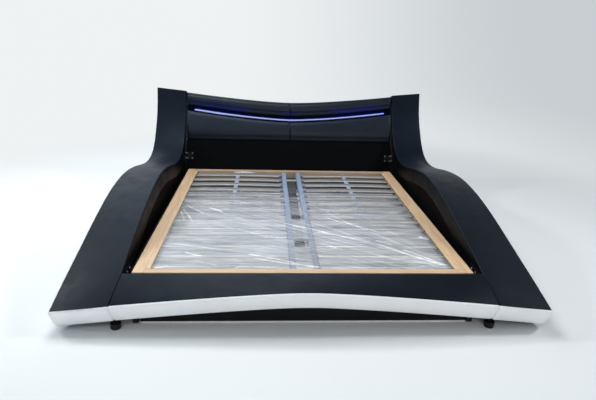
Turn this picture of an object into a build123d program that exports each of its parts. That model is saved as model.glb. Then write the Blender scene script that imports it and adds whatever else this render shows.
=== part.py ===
from build123d import *
import os
from math import cos, pi, radians, sin

# An upholstered double bed for a 1800 x 2000 mattress. The two side rails are wide padded ribbons
# that rise in a wave from the foot and curl up into wings beside a leaning headboard. A white band
# closes the foot and the outer sides, and a strip of light lies in a groove of the headboard.
# All pieces are first built with X across, Y from the foot edge of the slatted base towards the
# head, and Z up from the floor. At the end they move along Y together, so that the origin lies
# under the middle of the whole bed, on the floor.

# Slatted base
base_width = 1800
base_length = 2000
base_top = 240
base_rail_height = 60
side_rail_width = 60
end_rail_width = 46
rail_edge_radius = 4
centre_rail_width = 35
centre_rail_height = 40
centre_rail_spacing = 122
centre_rail_below_top = 10
slat_count = 14
slat_width = 53
slat_thickness = 8
slat_crown = 6
slat_end_below_top = 16
slat_pocket_depth = 20
holder_length = 26
holder_width = 57
holder_height = 14
strap_width = 32
strap_thickness = 1.6
strap_bow_share = 0.02
cross_plate_width = 150
cross_plate_length = 42
cross_plate_thickness = 5
cross_plate_shares = (0.2, 0.42, 0.66)
head_batten_width = 26
head_batten_thickness = 10
head_batten_share = 0.87
film_thickness = 0.5
film_margin = 1
base_screw_head_radius = 6
base_screw_head_height = 3
base_screw_shares = (0.3, 0.7)

# Side rails: padded ribbons between an inner and an outer edge
side_gap = 45
foot_half_width = 1252
wing_half_width = 1208
ribbon_thickness = 110
side_tuck = 24
cover_thickness = 2
edging_thickness = 3
deck_thickness = 12
underside_thickness = 1.5
board_depth = 44
board_notch_depth = 40
board_end_clearance = 4
nose_pad = 12
nose_fillet = 7
cap_pad = 9
cap_fillet = 6
foot_depth = 207
head_run = 352
wing_inner_height = 868
wing_outer_height = 893
calm_station_count = 20
wing_station_count = 19
calm_share = 0.64
wave_y_shares = (0, 0.081, 0.159, 0.315, 0.511, 0.667, 0.804, 0.882, 0.941, 0.98, 1)
inner_rise_shares = (0, 0.122, 0.204, 0.34, 0.429, 0.354, 0.297, 0.368, 0.552, 0.782, 1)
outer_rise_shares = (0, 0.082, 0.156, 0.301, 0.4, 0.354, 0.293, 0.358, 0.55, 0.762, 1)

# Side box below each ribbon
box_clearance_below = 32
inner_board_thickness = 22
liner_thickness = 2
box_width = 170
outer_board_thickness = 18
box_front_setback = 44
box_rear_overrun = 165
rib_thickness = 18
rib_shares = (0.03, 0.2, 0.4, 0.6, 0.8, 0.96)
rib_top_clearance = 3
ledger_height = 30
ledger_bearing = 26
side_foot_radius = 26
side_foot_inset = 27
side_foot_shares = (0, 0.34, 0.67, 1)
foot_sole_height = 4
foot_sole_share = 0.86

# Footboard
foot_gap = 6
foot_rear_rise = 2
arch_top = 228
arch_fall = 100
arch_power = 1.3
foot_station_count = 19
foot_board_thickness = 25
foot_board_below_top = 32
foot_cover_return = 60
band_bulge = 4
seam_gap = 3
plinth_setback = 103
plinth_thickness = 16
plinth_half_length = 848
plinth_strip_height = 9
plinth_strip_thickness = 20
plinth_foot_width = 26
plinth_foot_depth = 30
plinth_foot_offset = 24

# Headboard, measured in its own leaning plane: v runs up the face, d towards the foot
head_gap = 120
head_lean = 19.6
head_side_gap = 7
head_top_middle = 594
head_top_rise = 106
head_top_reach = 1185
smile_power = 1.5
cushion_depth = 60
cushion_bottom = 236
cushion_crown = 12
cushion_draw_in = 9
cushion_corner = 16
cushion_seam_width = 22
cushion_seam_depth = 11
seam_shares = (0, 0.5, 1)
seam_dip_shares = (1, 0.35, 0.08)
light_middle = 421
light_rise = 80
light_reach = 868
groove_height = 50
head_board_thickness = 18
head_post_depth = 40
head_post_width = 70
head_post_shares = (0.3, 0.88)
head_foot_shares = (-0.5, 0, 0.5)
back_cover_thickness = 2
top_return = 30
lower_panel_setback = 28
lower_panel_thickness = 16

# Light strip
channel_width = 16
channel_depth = 14
channel_wall = 1.5
channel_front_setback = 8
strip_thickness = 1.5
strip_width = 10
diffuser_thickness = 3
light_bay_count = 8
driver_length = 150
driver_height = 46
driver_depth = 28
driver_corner = 5
inlet_radius = 6
inlet_bore_radius = 2.8
inlet_length = 9

# Metal fittings
bracket_size = 62
bracket_thickness = 4
bracket_middle = 90
bolt_spacing = 45
bolt_head_radius = 6.5
bolt_head_height = 4.5
bolt_shank_radius = 3
bolt_hole_clearance = 0.3
bolt_dome_share = 0.5
foot_bracket_length = 150
foot_bracket_height = 44
foot_bracket_thickness = 3
foot_bolt_edge = 6
foot_bolt_shares = (0.5, 0.84)
foot_bolt_bite_share = 0.6
centre_beam_width = 60
centre_beam_height = 40
tube_wall = 2.5
centre_leg_radius = 15
centre_leg_shares = (0.3, 0.75)
centre_leg_pad_share = 1.5
crossbar_width = 40
crossbar_height = 30
crossbar_setback = 20

# Fits
seat_gap = 0.3
layer_gap = 0.5
overrun = 10

# Sizes that follow from the ones above
inner_face = base_width / 2 + side_gap
wave_start = nose_pad - foot_depth
wave_length = base_length + head_run - wave_start
foot_end = inner_face - seam_gap
head_end = inner_face - head_side_gap
base_bottom = base_top - base_rail_height
ledger_top = base_bottom - seat_gap
box_front = box_front_setback - foot_depth
box_rear = base_length + head_gap + box_rear_overrun
box_length = box_rear - box_front
plinth_front = plinth_setback - foot_depth + nose_pad
head_back = -cushion_depth - head_board_thickness - head_post_depth
core_back = -cushion_depth - seat_gap
head_plane = Plane(
    origin=(0, base_length + head_gap, base_top),
    x_dir=(1, 0, 0),
    z_dir=(0, -cos(radians(head_lean)), sin(radians(head_lean))),
)


def spread(first, last, count):
    """Evenly spaced values from first to last."""
    return [first + (last - first) * i / (count - 1) for i in range(count)]


def block(x_pair, y_pair, z_pair):
    """A box between two values along each axis."""
    sizes = [abs(pair[1] - pair[0]) for pair in (x_pair, y_pair, z_pair)]
    middle = [(pair[0] + pair[1]) / 2 for pair in (x_pair, y_pair, z_pair)]
    return Pos(*middle) * Box(*sizes)


def mirrored(part):
    """The same piece on the other side of the bed."""
    return mirror(part, about=Plane.YZ)


def both(part):
    """A piece and its mirror image, as separate solids of one group."""
    return Compound([*part.solids(), *mirrored(part).solids()])


def group(parts):
    """Several separate solids under one name."""
    return Compound([solid for part in parts for solid in part.solids()])


def loft_through(wires):
    """A solid skinned through closed sections, in straight bays."""
    return Solid.make_loft(wires, True)


def polygon(points):
    """A closed wire through points."""
    return Wire.make_polygon([Vector(*p) for p in points], close=True)


# The wave of the side rail


def arch_height(x):
    """Top edge of the foot: highest in the middle and falling towards both sides."""
    return arch_top - arch_fall * (abs(x) / foot_half_width) ** arch_power


def wave_edge(x_foot, x_head, height_head, rise_shares):
    """One long edge of the ribbon's upper face, as a smooth curve."""
    low = arch_height(x_foot)
    points = []
    for y_share, rise_share in zip(wave_y_shares, rise_shares):
        x = x_foot + (x_head - x_foot) * y_share
        z = low + (height_head - low) * rise_share
        points.append((x, wave_start + wave_length * y_share, z))
    return Edge.make_spline([Vector(*p) for p in points])


class Station:
    """One cross-section of the ribbon, square to its run."""

    def __init__(self, inner_edge, outer_edge, share):
        self.inner = inner_edge.position_at(share)
        self.outer = outer_edge.position_at(share)
        tangent = inner_edge.tangent_at(share)
        self.run = Vector(0, tangent.Y, tangent.Z).normalized()
        self.down = Vector(0, self.run.Z, -self.run.Y)
        self.across = (self.outer - self.inner).normalized()

    def from_inner(self, inset, depth):
        """A point that far from the inner side and below the upper face."""
        return self.inner + self.across * inset + self.down * depth

    def from_outer(self, inset, depth):
        """The same from the outer side, which draws in towards its lower edge."""
        tucked = inset + side_tuck * depth / ribbon_thickness
        return self.outer - self.across * tucked + self.down * depth


def make_stations():
    """The ribbon's cross-sections from the nose to the top of the wing, closer in the wing."""
    inner = wave_edge(inner_face, inner_face, wing_inner_height, inner_rise_shares)
    outer = wave_edge(foot_half_width, wing_half_width, wing_outer_height, outer_rise_shares)
    shares = spread(0, calm_share, calm_station_count)
    shares += spread(calm_share, 1, wing_station_count)[1:]
    return [Station(inner, outer, share) for share in shares]


stations = make_stations()
nose = stations[0]
wing_end = stations[-1]


def ribbon_layer(section):
    """A layer of the ribbon, from a function that gives the section's corners at a station."""
    return loft_through([polygon(section(station)) for station in stations])


inner_side = cover_thickness + layer_gap
outer_side = edging_thickness + layer_gap
board_side = inner_side + inner_board_thickness + layer_gap
underside_top = ribbon_thickness - underside_thickness
deck_top = underside_top - layer_gap - deck_thickness


def cover_section(station):
    """Leather over the upper face and down the inner side."""
    skin = cover_thickness
    return [
        station.from_inner(0, 0),
        station.from_outer(outer_side, 0),
        station.from_outer(outer_side, skin),
        station.from_inner(skin, skin),
        station.from_inner(skin, ribbon_thickness),
        station.from_inner(0, ribbon_thickness),
    ]


def foam_section(station):
    """Foam over the board and out to the edge, down to the deck."""
    return [
        station.from_inner(inner_side, inner_side),
        station.from_outer(outer_side, inner_side),
        station.from_outer(outer_side, deck_top - layer_gap),
        station.from_inner(board_side, deck_top - layer_gap),
        station.from_inner(board_side, board_notch_depth),
        station.from_inner(inner_side, board_notch_depth),
    ]


def flat_section(top, bottom):
    """A flat layer outside the board, between two depths."""

    def section(station):
        return [
            station.from_inner(board_side, top),
            station.from_outer(outer_side, top),
            station.from_outer(outer_side, bottom),
            station.from_inner(board_side, bottom),
        ]

    return section


def edging_section(station):
    """The white strip over the whole outer side."""
    return [
        station.from_outer(0, 0),
        station.from_outer(edging_thickness, 0),
        station.from_outer(edging_thickness, ribbon_thickness),
        station.from_outer(0, ribbon_thickness),
    ]


def end_pad(station, direction, thickness, radius):
    """A thin padded end over the whole section, rounded towards its outer face."""
    sections = []
    for turn in (0, pi / 4, pi / 2):
        inset = radius * (1 - cos(turn))
        out = direction * (thickness - radius + radius * sin(turn))
        sections.append((inset, out))
    sections.insert(0, (0, direction * seat_gap))
    wires = []
    for inset, out in sections:
        low = ribbon_thickness - inset
        wires.append(polygon([
            station.from_inner(inset, inset) + out,
            station.from_outer(inset, inset) + out,
            station.from_outer(inset, low) + out,
            station.from_inner(inset, low) + out,
        ]))
    return loft_through(wires)


side_cover = ribbon_layer(cover_section)
side_foam = ribbon_layer(foam_section)
side_deck = ribbon_layer(flat_section(deck_top, deck_top + deck_thickness))
side_underside = ribbon_layer(flat_section(underside_top, ribbon_thickness))
side_edging = ribbon_layer(edging_section)
side_nose = end_pad(nose, -nose.run, nose_pad, nose_fillet)
wing_cap = end_pad(wing_end, wing_end.run, cap_pad, cap_fillet)


# The box that carries each ribbon


def depth_line(inset, depth):
    """A line along the ribbon, at one distance from its inner side and one depth."""
    return [station.from_inner(inset, depth) for station in stations]


def depth_at(inset, depth, y):
    """Height of a line inside the ribbon above one place along the bed."""
    line = depth_line(inset, depth)
    for before, after in zip(line, line[1:]):
        if before.Y <= y <= after.Y:
            share = (y - before.Y) / (after.Y - before.Y)
            return before.Z + (after.Z - before.Z) * share
    return line[0].Z


def underside_height(inset, y):
    """Height of the ribbon's lower face above one place along the bed."""
    return depth_at(inset, ribbon_thickness, y)


def upright(x, thickness, outline):
    """An upright board from the points of its outline, all moved into the plane at one x."""
    corners = [(x, point.Y, point.Z) for point in outline]
    return Solid.extrude(Face(polygon(corners)), Vector(thickness, 0, 0))


def inside_ends(line):
    """The same line, ending a little before the padded ends of the ribbon."""
    first = line[0] + nose.run * board_end_clearance
    last = line[-1] - wing_end.run * board_end_clearance
    return [first, *line[1:-1], last]


def up_to_rear(line, inset, depth_gap):
    """The part of a lower line that lies before the rear of the box, ending there."""
    rear = Vector(inset, box_rear, underside_height(inset, box_rear) - depth_gap)
    return [*[point for point in line if point.Y < box_rear], rear]


def board_below(x_near, thickness):
    """An upright board in the box, up to the ribbon's lower face."""
    low_inset = x_near + thickness - inner_face
    line = up_to_rear(depth_line(low_inset, ribbon_thickness + layer_gap), low_inset, layer_gap)
    low_rear = Vector(x_near, box_rear, box_clearance_below)
    low_front = Vector(x_near, line[0].Y, box_clearance_below)
    return upright(x_near, thickness, [*line, low_rear, low_front])


board_near = inner_face + inner_side
outer_board_near = inner_face + box_width - outer_board_thickness
side_liner = board_below(inner_face, liner_thickness)
side_plinth = board_below(outer_board_near, outer_board_thickness)


def make_side_board():
    """The inner board, from above the floor up into the ribbon and the wing."""
    far_inset = inner_side + inner_board_thickness
    upper = inside_ends(depth_line(far_inset, board_depth))
    lower = inside_ends(depth_line(far_inset, ribbon_thickness))
    rear = Vector(far_inset, box_rear, underside_height(far_inset, box_rear))
    tail = [rear, *[point for point in lower if point.Y > box_rear]]
    low_rear = Vector(far_inset, box_rear, box_clearance_below)
    low_front = Vector(far_inset, lower[0].Y, box_clearance_below)
    outline = [*upper, *reversed(tail), low_rear, low_front, lower[0]]
    return upright(board_near, inner_board_thickness, outline)


side_board = make_side_board()


def make_rib(share):
    """A cross rib between the two boards, under the ribbon."""
    y = box_front + box_length * share
    left = board_near + inner_board_thickness
    right = outer_board_near
    half = rib_thickness / 2
    tops = []
    for x in (left, right):
        inset = x - inner_face
        tops.append(min(underside_height(inset, y - half), underside_height(inset, y + half)))
    corners = [
        (left, y - half, box_clearance_below),
        (right, y - half, box_clearance_below),
        (right, y - half, tops[1] - rib_top_clearance),
        (left, y - half, tops[0] - rib_top_clearance),
    ]
    return Solid.extrude(Face(polygon(corners)), Vector(0, rib_thickness, 0))


side_ribs = group([make_rib(share) for share in rib_shares])


def make_side_ledger():
    """The batten on the inner side that the slatted base rests on, from the foot bracket to the head."""
    width = side_gap + ledger_bearing
    return block(
        (inner_face - width, inner_face),
        (foot_bracket_length + layer_gap, base_length),
        (ledger_top - ledger_height, ledger_top),
    )


side_ledger = make_side_ledger()


def round_foot(x, y, radius, top):
    """A round foot with a thin sole, standing on the floor."""
    sole = Pos(x, y, foot_sole_height / 2) * Cylinder(radius * foot_sole_share, foot_sole_height)
    height = top - foot_sole_height
    body = Pos(x, y, foot_sole_height + height / 2) * Cylinder(radius, height)
    return (sole + body).solids()[0]


def make_side_feet():
    """Round feet along the inner board of both side boxes."""
    first = box_front + side_foot_inset
    last = box_rear - side_foot_inset
    x = board_near + inner_board_thickness / 2
    feet = []
    for share in side_foot_shares:
        y = first + (last - first) * share
        feet.append(round_foot(x, y, side_foot_radius, box_clearance_below))
    return both(group(feet))


side_feet = make_side_feet()


# The footboard

foot_front = wave_start
foot_rear = -foot_gap
foot_rear_top = base_top + foot_rear_rise
foot_board_top = foot_rear_top - foot_board_below_top


def foot_point(x, depth, forward=0):
    """A point on the sloping front of the foot, below its top edge and out from it."""
    base = Vector(x, foot_front, arch_height(x))
    return base + nose.down * depth - nose.run * forward


def foot_places():
    """Places across the foot: even bays over the plinth, and the two ends."""
    return [-foot_end, *spread(-plinth_half_length, plinth_half_length, foot_station_count), foot_end]


def foot_layer(section):
    """A layer of the footboard, from a function that gives the section at one x."""
    return loft_through([section(x) for x in foot_places()])


def foot_cover_section(x):
    """Leather over the upper face and a little way down the rear."""
    skin = cover_thickness
    rear = Vector(x, foot_rear, foot_rear_top)
    inner_rear = Vector(x, foot_rear - skin, foot_rear_top - skin)
    low = foot_rear_top - foot_cover_return
    return polygon([
        rear,
        foot_point(x, 0),
        foot_point(x, skin),
        inner_rear,
        Vector(x, foot_rear - skin, low),
        Vector(x, foot_rear, low),
    ])


board_front = foot_rear - cover_thickness - seat_gap - foot_board_thickness


def foot_foam_section(x):
    """Foam under the leather, over and in front of the board."""
    side = cover_thickness + seat_gap
    front_low = foot_point(x, deck_top - seat_gap)
    return polygon([
        Vector(x, foot_rear - side, foot_rear_top - side),
        foot_point(x, side),
        front_low,
        Vector(x, board_front - seat_gap, front_low.Z),
        Vector(x, board_front - seat_gap, foot_board_top + seat_gap),
        Vector(x, foot_rear - side, foot_board_top + seat_gap),
    ])


def foot_deck_section(x):
    """The plywood that closes the footboard below."""
    top_front = foot_point(x, deck_top)
    low_front = foot_point(x, ribbon_thickness)
    return polygon([
        top_front,
        low_front,
        Vector(x, board_front - seat_gap, low_front.Z),
        Vector(x, board_front - seat_gap, top_front.Z),
    ])


def foot_band_section(x):
    """The white padded band, slightly crowned in front."""
    upper = foot_point(x, 0, seat_gap)
    lower = foot_point(x, ribbon_thickness, seat_gap)
    front_upper = foot_point(x, nose_fillet, nose_pad)
    front_lower = foot_point(x, ribbon_thickness - nose_fillet, nose_pad)
    middle = foot_point(x, ribbon_thickness / 2, nose_pad + band_bulge)
    shoulder = nose_pad - nose_fillet
    upper_start = foot_point(x, 0, shoulder)
    lower_start = foot_point(x, ribbon_thickness, shoulder)
    lean = nose_fillet * (1 - cos(pi / 4))
    upper_mid = foot_point(x, lean, nose_pad - lean)
    lower_mid = foot_point(x, ribbon_thickness - lean, nose_pad - lean)
    return Wire([
        Edge.make_line(upper, upper_start),
        Edge.make_three_point_arc(upper_start, upper_mid, front_upper),
        Edge.make_three_point_arc(front_upper, middle, front_lower),
        Edge.make_three_point_arc(front_lower, lower_mid, lower_start),
        Edge.make_line(lower_start, lower),
        Edge.make_line(lower, upper),
    ])


foot_cover = foot_layer(foot_cover_section)
foot_foam = foot_layer(foot_foam_section)
foot_deck = foot_layer(foot_deck_section)
foot_band = foot_layer(foot_band_section)


def make_foot_board():
    """The structural board across the foot."""
    return block(
        (-foot_end, foot_end),
        (board_front, board_front + foot_board_thickness),
        (box_clearance_below, foot_board_top),
    )


def make_foot_plinth():
    """The recessed panel below the arch, its upper edge following the deck."""
    low = nose.down.Z * ribbon_thickness
    places = spread(-plinth_half_length, plinth_half_length, foot_station_count)
    crest = [Vector(x, plinth_front, arch_height(x) + low - seat_gap) for x in places]
    base_left = Vector(-plinth_half_length, plinth_front, plinth_strip_height)
    base_right = Vector(plinth_half_length, plinth_front, plinth_strip_height)
    outline = polygon([*crest, base_right, base_left])
    return Solid.extrude(Face(outline), Vector(0, plinth_thickness, 0))


def make_plinth_strip():
    """The pale strip under the plinth that stands on the floor."""
    return block(
        (-plinth_half_length, plinth_half_length),
        (plinth_front, plinth_front + plinth_strip_thickness),
        (0, plinth_strip_height),
    )


def make_plinth_feet():
    """Small feet under the footboard's deck, outside the plinth's ends."""
    middle = plinth_half_length + plinth_foot_offset
    outer = middle + plinth_foot_width / 2
    low = arch_height(outer) + nose.down.Z * ribbon_thickness
    foot = block(
        (middle - plinth_foot_width / 2, outer),
        (plinth_front, plinth_front + plinth_foot_depth),
        (0, low - seat_gap),
    )
    return both(foot)


foot_board = make_foot_board()
foot_plinth = make_foot_plinth()
plinth_strip = make_plinth_strip()
plinth_feet = make_plinth_feet()


# The headboard


def top_line(x):
    """The headboard's upper edge, lowest in the middle."""
    return head_top_middle + head_top_rise * (abs(x) / head_top_reach) ** smile_power


def light_line(x):
    """The line of light, which dips like the upper edge."""
    return light_middle + light_rise * (abs(x) / light_reach) ** smile_power


def on_head(x, v, d):
    """A point given in the headboard's own plane."""
    return head_plane.from_local_coords((x, v, d))


def above_feet(part):
    """The part of a leaning piece that stays above the feet."""
    room = block(
        (-wing_half_width, wing_half_width),
        (0, base_length + head_run + base_length),
        (box_clearance_below, wing_outer_height + base_top),
    )
    return (part & room).solids()[0]


def smile_places(reach):
    """Places across one half of the headboard, up to a reach, shared by all that dips."""
    seam = [cushion_seam_width * share for share in seam_shares]
    bays = spread(0, light_reach, light_bay_count + 1)[1:]
    ends = [head_end - place for place in reversed(seam)]
    return [x for x in [*seam, *bays, *ends] if x <= reach]


def across_head(reach):
    """The same places from one side of the headboard to the other."""
    half = smile_places(reach)
    return [-x for x in reversed(half[1:])] + half


def cushion_section(x, low, high, dip, top_back):
    """A padded section: rounded below and above, crowned in front and flat behind."""
    corner = cushion_corner
    face = -dip - cushion_crown
    lean = corner * (1 - cos(pi / 4))
    back_low = on_head(x, low, core_back)
    low_front = on_head(x, low, face - corner)
    low_middle = on_head(x, low + lean, face - lean)
    front_low = on_head(x, low + corner, face)
    crest = on_head(x, (low + high) / 2, -dip)
    front_high = on_head(x, high - corner, face)
    high_middle = on_head(x, high - lean, face - lean)
    high_front = on_head(x, high, face - corner)
    back_high = on_head(x, high, top_back)
    edges = [
        Edge.make_line(back_low, low_front),
        Edge.make_three_point_arc(low_front, low_middle, front_low),
        Edge.make_three_point_arc(front_low, crest, front_high),
        Edge.make_three_point_arc(front_high, high_middle, high_front),
        Edge.make_line(high_front, back_high),
    ]
    if top_back == core_back:
        return Wire([*edges, Edge.make_line(back_high, back_low)])
    step_out = on_head(x, high - top_return, top_back)
    step_in = on_head(x, high - top_return, core_back)
    return Wire([
        *edges,
        Edge.make_line(back_high, step_out),
        Edge.make_line(step_out, step_in),
        Edge.make_line(step_in, back_low),
    ])


def half_cushion(low_line, high_line, top_back):
    """Half of a headboard cushion, drawn in at the middle seam and at its outer end."""
    places = smile_places(head_end)
    dips = [cushion_seam_depth * share for share in seam_dip_shares]
    ends = [cushion_draw_in * share for share in reversed(seam_dip_shares)]
    dips += [0] * (len(places) - len(dips) - len(ends)) + ends
    wires = []
    for x, dip in zip(places, dips):
        wires.append(cushion_section(x, low_line(x), high_line(x), dip, top_back))
    return loft_through(wires)


def whole_cushion(low_line, high_line, top_back):
    """Both halves of a cushion, joined at the sewn middle seam."""
    half = half_cushion(low_line, high_line, top_back)
    return (half + mirrored(half)).solids()[0]


def lower_bottom(x):
    """Straight lower edge of the lower cushion."""
    return cushion_bottom


def lower_top(x):
    """Upper edge of the lower cushion, just under the light."""
    return light_line(x) - channel_width / 2


def upper_bottom(x):
    """Lower edge of the upper cushion, above the groove."""
    return lower_top(x) + groove_height


lower_cushion = whole_cushion(lower_bottom, lower_top, core_back)
upper_cushion = whole_cushion(upper_bottom, top_line, head_back)


def head_sheet(d_front, thickness, reach, high_line, low):
    """A flat sheet of the headboard, its upper edge following a line."""
    places = [-reach, *across_head(light_reach), reach]
    crest = [on_head(x, high_line(x), d_front) for x in places]
    corner_right = on_head(reach, low, d_front)
    corner_left = on_head(-reach, low, d_front)
    outline = polygon([*crest, corner_right, corner_left])
    return Solid.extrude(Face(outline), head_plane.z_dir * -thickness)


def under_return(x):
    """Just below the padded return over the headboard's top."""
    return top_line(x) - top_return - seat_gap


def panel_top(x):
    """The lower panel runs up behind the lower cushion's edge."""
    return cushion_bottom - seat_gap


head_foot_line = -base_top / cos(radians(head_lean))
head_reach = head_end - cushion_corner / 2
head_board = above_feet(head_sheet(
    core_back - seat_gap, head_board_thickness, head_reach, under_return, head_foot_line,
))
lower_panel = above_feet(head_sheet(
    -lower_panel_setback, lower_panel_thickness, head_end, panel_top, head_foot_line,
))
post_front = core_back - head_board_thickness - 2 * seat_gap
post_back = head_back + back_cover_thickness + seat_gap


def make_post(x):
    """An upright batten behind the board."""
    low_x, high_x = x - head_post_width / 2, x + head_post_width / 2
    top = min(under_return(low_x), under_return(high_x))
    corners = [
        on_head(low_x, head_foot_line, post_front),
        on_head(high_x, head_foot_line, post_front),
        on_head(high_x, top, post_front),
        on_head(low_x, top, post_front),
    ]
    depth = post_front - post_back
    return above_feet(Solid.extrude(Face(polygon(corners)), head_plane.z_dir * -depth))


def make_packers():
    """Battens that hold the lower panel forward of the board."""
    depth = lower_panel_setback + lower_panel_thickness
    thickness = -core_back - depth
    parts = []
    for share in (-1, 0, 1):
        x = share * (head_end - head_post_width)
        low_x, high_x = x - head_post_width / 2, x + head_post_width / 2
        corners = [
            on_head(low_x, head_foot_line, -depth),
            on_head(high_x, head_foot_line, -depth),
            on_head(high_x, cushion_bottom - seat_gap, -depth),
            on_head(low_x, cushion_bottom - seat_gap, -depth),
        ]
        sheet = Face(polygon(corners))
        parts.append(above_feet(Solid.extrude(sheet, head_plane.z_dir * -thickness)))
    return group(parts)


head_posts = group([make_post(side * share * head_reach)
                    for side in (-1, 1) for share in head_post_shares])
head_packers = make_packers()
back_cover = above_feet(head_sheet(
    post_back - seat_gap, back_cover_thickness, head_reach, under_return, head_foot_line,
))


def make_head_feet():
    """Round feet under the headboard's board."""
    depth = (core_back + post_back) / 2
    rise = base_top - box_clearance_below + depth * sin(radians(head_lean))
    y = on_head(0, -rise / cos(radians(head_lean)), depth).Y
    feet = [round_foot(share * head_reach, y, side_foot_radius, box_clearance_below)
            for share in head_foot_shares]
    return group(feet)


head_feet = make_head_feet()


# The light in the groove


def along_light(section):
    """A long piece that follows the line of light, from a section function of x."""
    return loft_through([polygon(section(x)) for x in across_head(light_reach)])


channel_front = -channel_front_setback
channel_back = channel_front - channel_depth
channel_low_gap = seat_gap + channel_width / 2
half_channel = channel_width / 2


def channel_section(x):
    """An aluminium channel, open towards the foot."""
    v = light_line(x) + channel_low_gap
    wall = channel_wall
    corners = [
        (v - half_channel, channel_front),
        (v - half_channel, channel_back),
        (v + half_channel, channel_back),
        (v + half_channel, channel_front),
        (v + half_channel - wall, channel_front),
        (v + half_channel - wall, channel_back + wall),
        (v - half_channel + wall, channel_back + wall),
        (v - half_channel + wall, channel_front),
    ]
    return [on_head(x, low, d) for low, d in corners]


def bar_section(width, front, thickness):
    """A plain bar inside the channel."""

    def section(x):
        v = light_line(x) + channel_low_gap
        return [
            on_head(x, v - width / 2, front),
            on_head(x, v - width / 2, front - thickness),
            on_head(x, v + width / 2, front - thickness),
            on_head(x, v + width / 2, front),
        ]

    return section


strip_front = channel_back + channel_wall + seat_gap + strip_thickness
diffuser_width = channel_width - 2 * channel_wall - 2 * seat_gap
light_channel = along_light(channel_section)
light_strip = along_light(bar_section(strip_width, strip_front, strip_thickness))
light_diffuser = along_light(bar_section(diffuser_width, channel_front, diffuser_thickness))


def make_groove_back():
    """The dark strip that closes the groove behind the light."""
    wires = []
    for x in across_head(head_end):
        low = lower_top(x) + seat_gap
        high = upper_bottom(x) - seat_gap
        back = core_back
        front = channel_back - seat_gap
        wires.append(polygon([
            on_head(x, low, front),
            on_head(x, low, back),
            on_head(x, high, back),
            on_head(x, high, front),
        ]))
    return loft_through(wires)


groove_back = make_groove_back()


def make_driver():
    """The light's driver on the rear, with a low-voltage inlet in its lower side."""
    body = Box(driver_length, driver_height, driver_depth)
    body = fillet(body.edges().filter_by(Axis.Z), driver_corner)
    inlet = Pos(0, -(driver_height + inlet_length) / 2, 0)
    turned = Rot(90, 0, 0)
    barrel = inlet * turned * Cylinder(inlet_radius, inlet_length)
    bore = inlet * turned * Cylinder(inlet_bore_radius, inlet_length + overrun)
    driver = body + barrel - bore
    depth = post_back - seat_gap - back_cover_thickness - seat_gap - driver_depth / 2
    place = Pos(head_reach / 2, cushion_bottom, depth)
    return (head_plane.location * place * driver).solids()[0]


light_driver = make_driver()


# Metal fittings at the corners


def head_bolt_places():
    """Bolt centres on the headboard leg and on the side leg of the right bracket."""
    half = bolt_spacing / 2
    middle_x = inner_face - seat_gap - bracket_thickness - bracket_size / 2
    leg_middle = bracket_thickness - lower_panel_setback + bracket_size / 2
    front = [(middle_x + i * half, bracket_middle + j * half) for i in (-1, 1) for j in (-1, 1)]
    side = [(bracket_middle + i * half, leg_middle + j * half) for i in (-1, 1) for j in (-1, 1)]
    return front, side


def head_local(part):
    """A piece built in the headboard's plane, put in its place."""
    return head_plane.location * part


def head_shank(radius, length_front, length_side):
    """All shanks of one head bracket, in the headboard's plane."""
    front, side = head_bolt_places()
    seat = bracket_thickness - lower_panel_setback
    leg_face = inner_face - seat_gap - bracket_thickness
    parts = []
    for x, v in front:
        parts.append(Pos(x, v, seat - length_front / 2) * Cylinder(radius, length_front))
    for v, d in side:
        place = Pos(leg_face + length_side / 2, v, d) * Rot(0, 90, 0)
        parts.append(place * Cylinder(radius, length_side))
    return parts


def head_heads():
    """The domed heads of those bolts."""
    front, side = head_bolt_places()
    seat = bracket_thickness - lower_panel_setback
    leg_face = inner_face - seat_gap - bracket_thickness
    head = fillet(
        Cylinder(bolt_head_radius, bolt_head_height).edges().sort_by(Axis.Z)[-1],
        bolt_head_height * bolt_dome_share,
    )
    parts = []
    for x, v in front:
        parts.append(Pos(x, v, seat + bolt_head_height / 2) * head)
    for v, d in side:
        parts.append(Pos(leg_face - bolt_head_height / 2, v, d) * Rot(0, -90, 0) * head)
    return parts


front_shank = bracket_thickness + lower_panel_thickness - seat_gap
side_shank = bracket_thickness + seat_gap + inner_side + inner_board_thickness
hole_radius = bolt_shank_radius + bolt_hole_clearance


def make_head_bracket():
    """An angle bracket between the headboard's lower panel and the side."""
    seat = -lower_panel_setback + seat_gap
    low, high = bracket_middle - bracket_size / 2, bracket_middle + bracket_size / 2
    outer = inner_face - seat_gap
    thick = bracket_thickness
    leg = block((outer - bracket_size - thick, outer), (low, high), (seat, seat + thick - seat_gap))
    side = block((outer - thick, outer), (low, high), (seat, seat + bracket_size + thick))
    angle = leg + side
    for shank in head_shank(hole_radius, front_shank + overrun, side_shank + overrun):
        angle -= shank
    return head_local(angle.solids()[0])


def make_head_bolts():
    """The bolts of the right head bracket, each head with its shank."""
    bolts = []
    shanks = head_shank(bolt_shank_radius, front_shank, side_shank)
    for head, shank in zip(head_heads(), shanks):
        bolts.append(head_local(head + shank))
    return group(bolts)


head_bracket = make_head_bracket()
head_bolts = make_head_bolts()


def drill_for_head_bolts(part):
    """Clearance holes for the head brackets' bolts on both sides."""
    for shank in head_shank(hole_radius, front_shank + seat_gap, side_shank + seat_gap):
        placed = head_local(shank)
        part = part - placed
    return part


foot_bolt_first = foot_bracket_length * foot_bolt_shares[0]
foot_bolt_room = depth_at(inner_side + inner_board_thickness, board_depth, foot_bolt_first)
foot_bracket_middle = min(foot_bolt_room, foot_board_top) - foot_bolt_edge
foot_bracket_width = side_gap - 2 * foot_bracket_thickness
print("foot bolts at height", round(foot_bracket_middle, 2))


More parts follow.
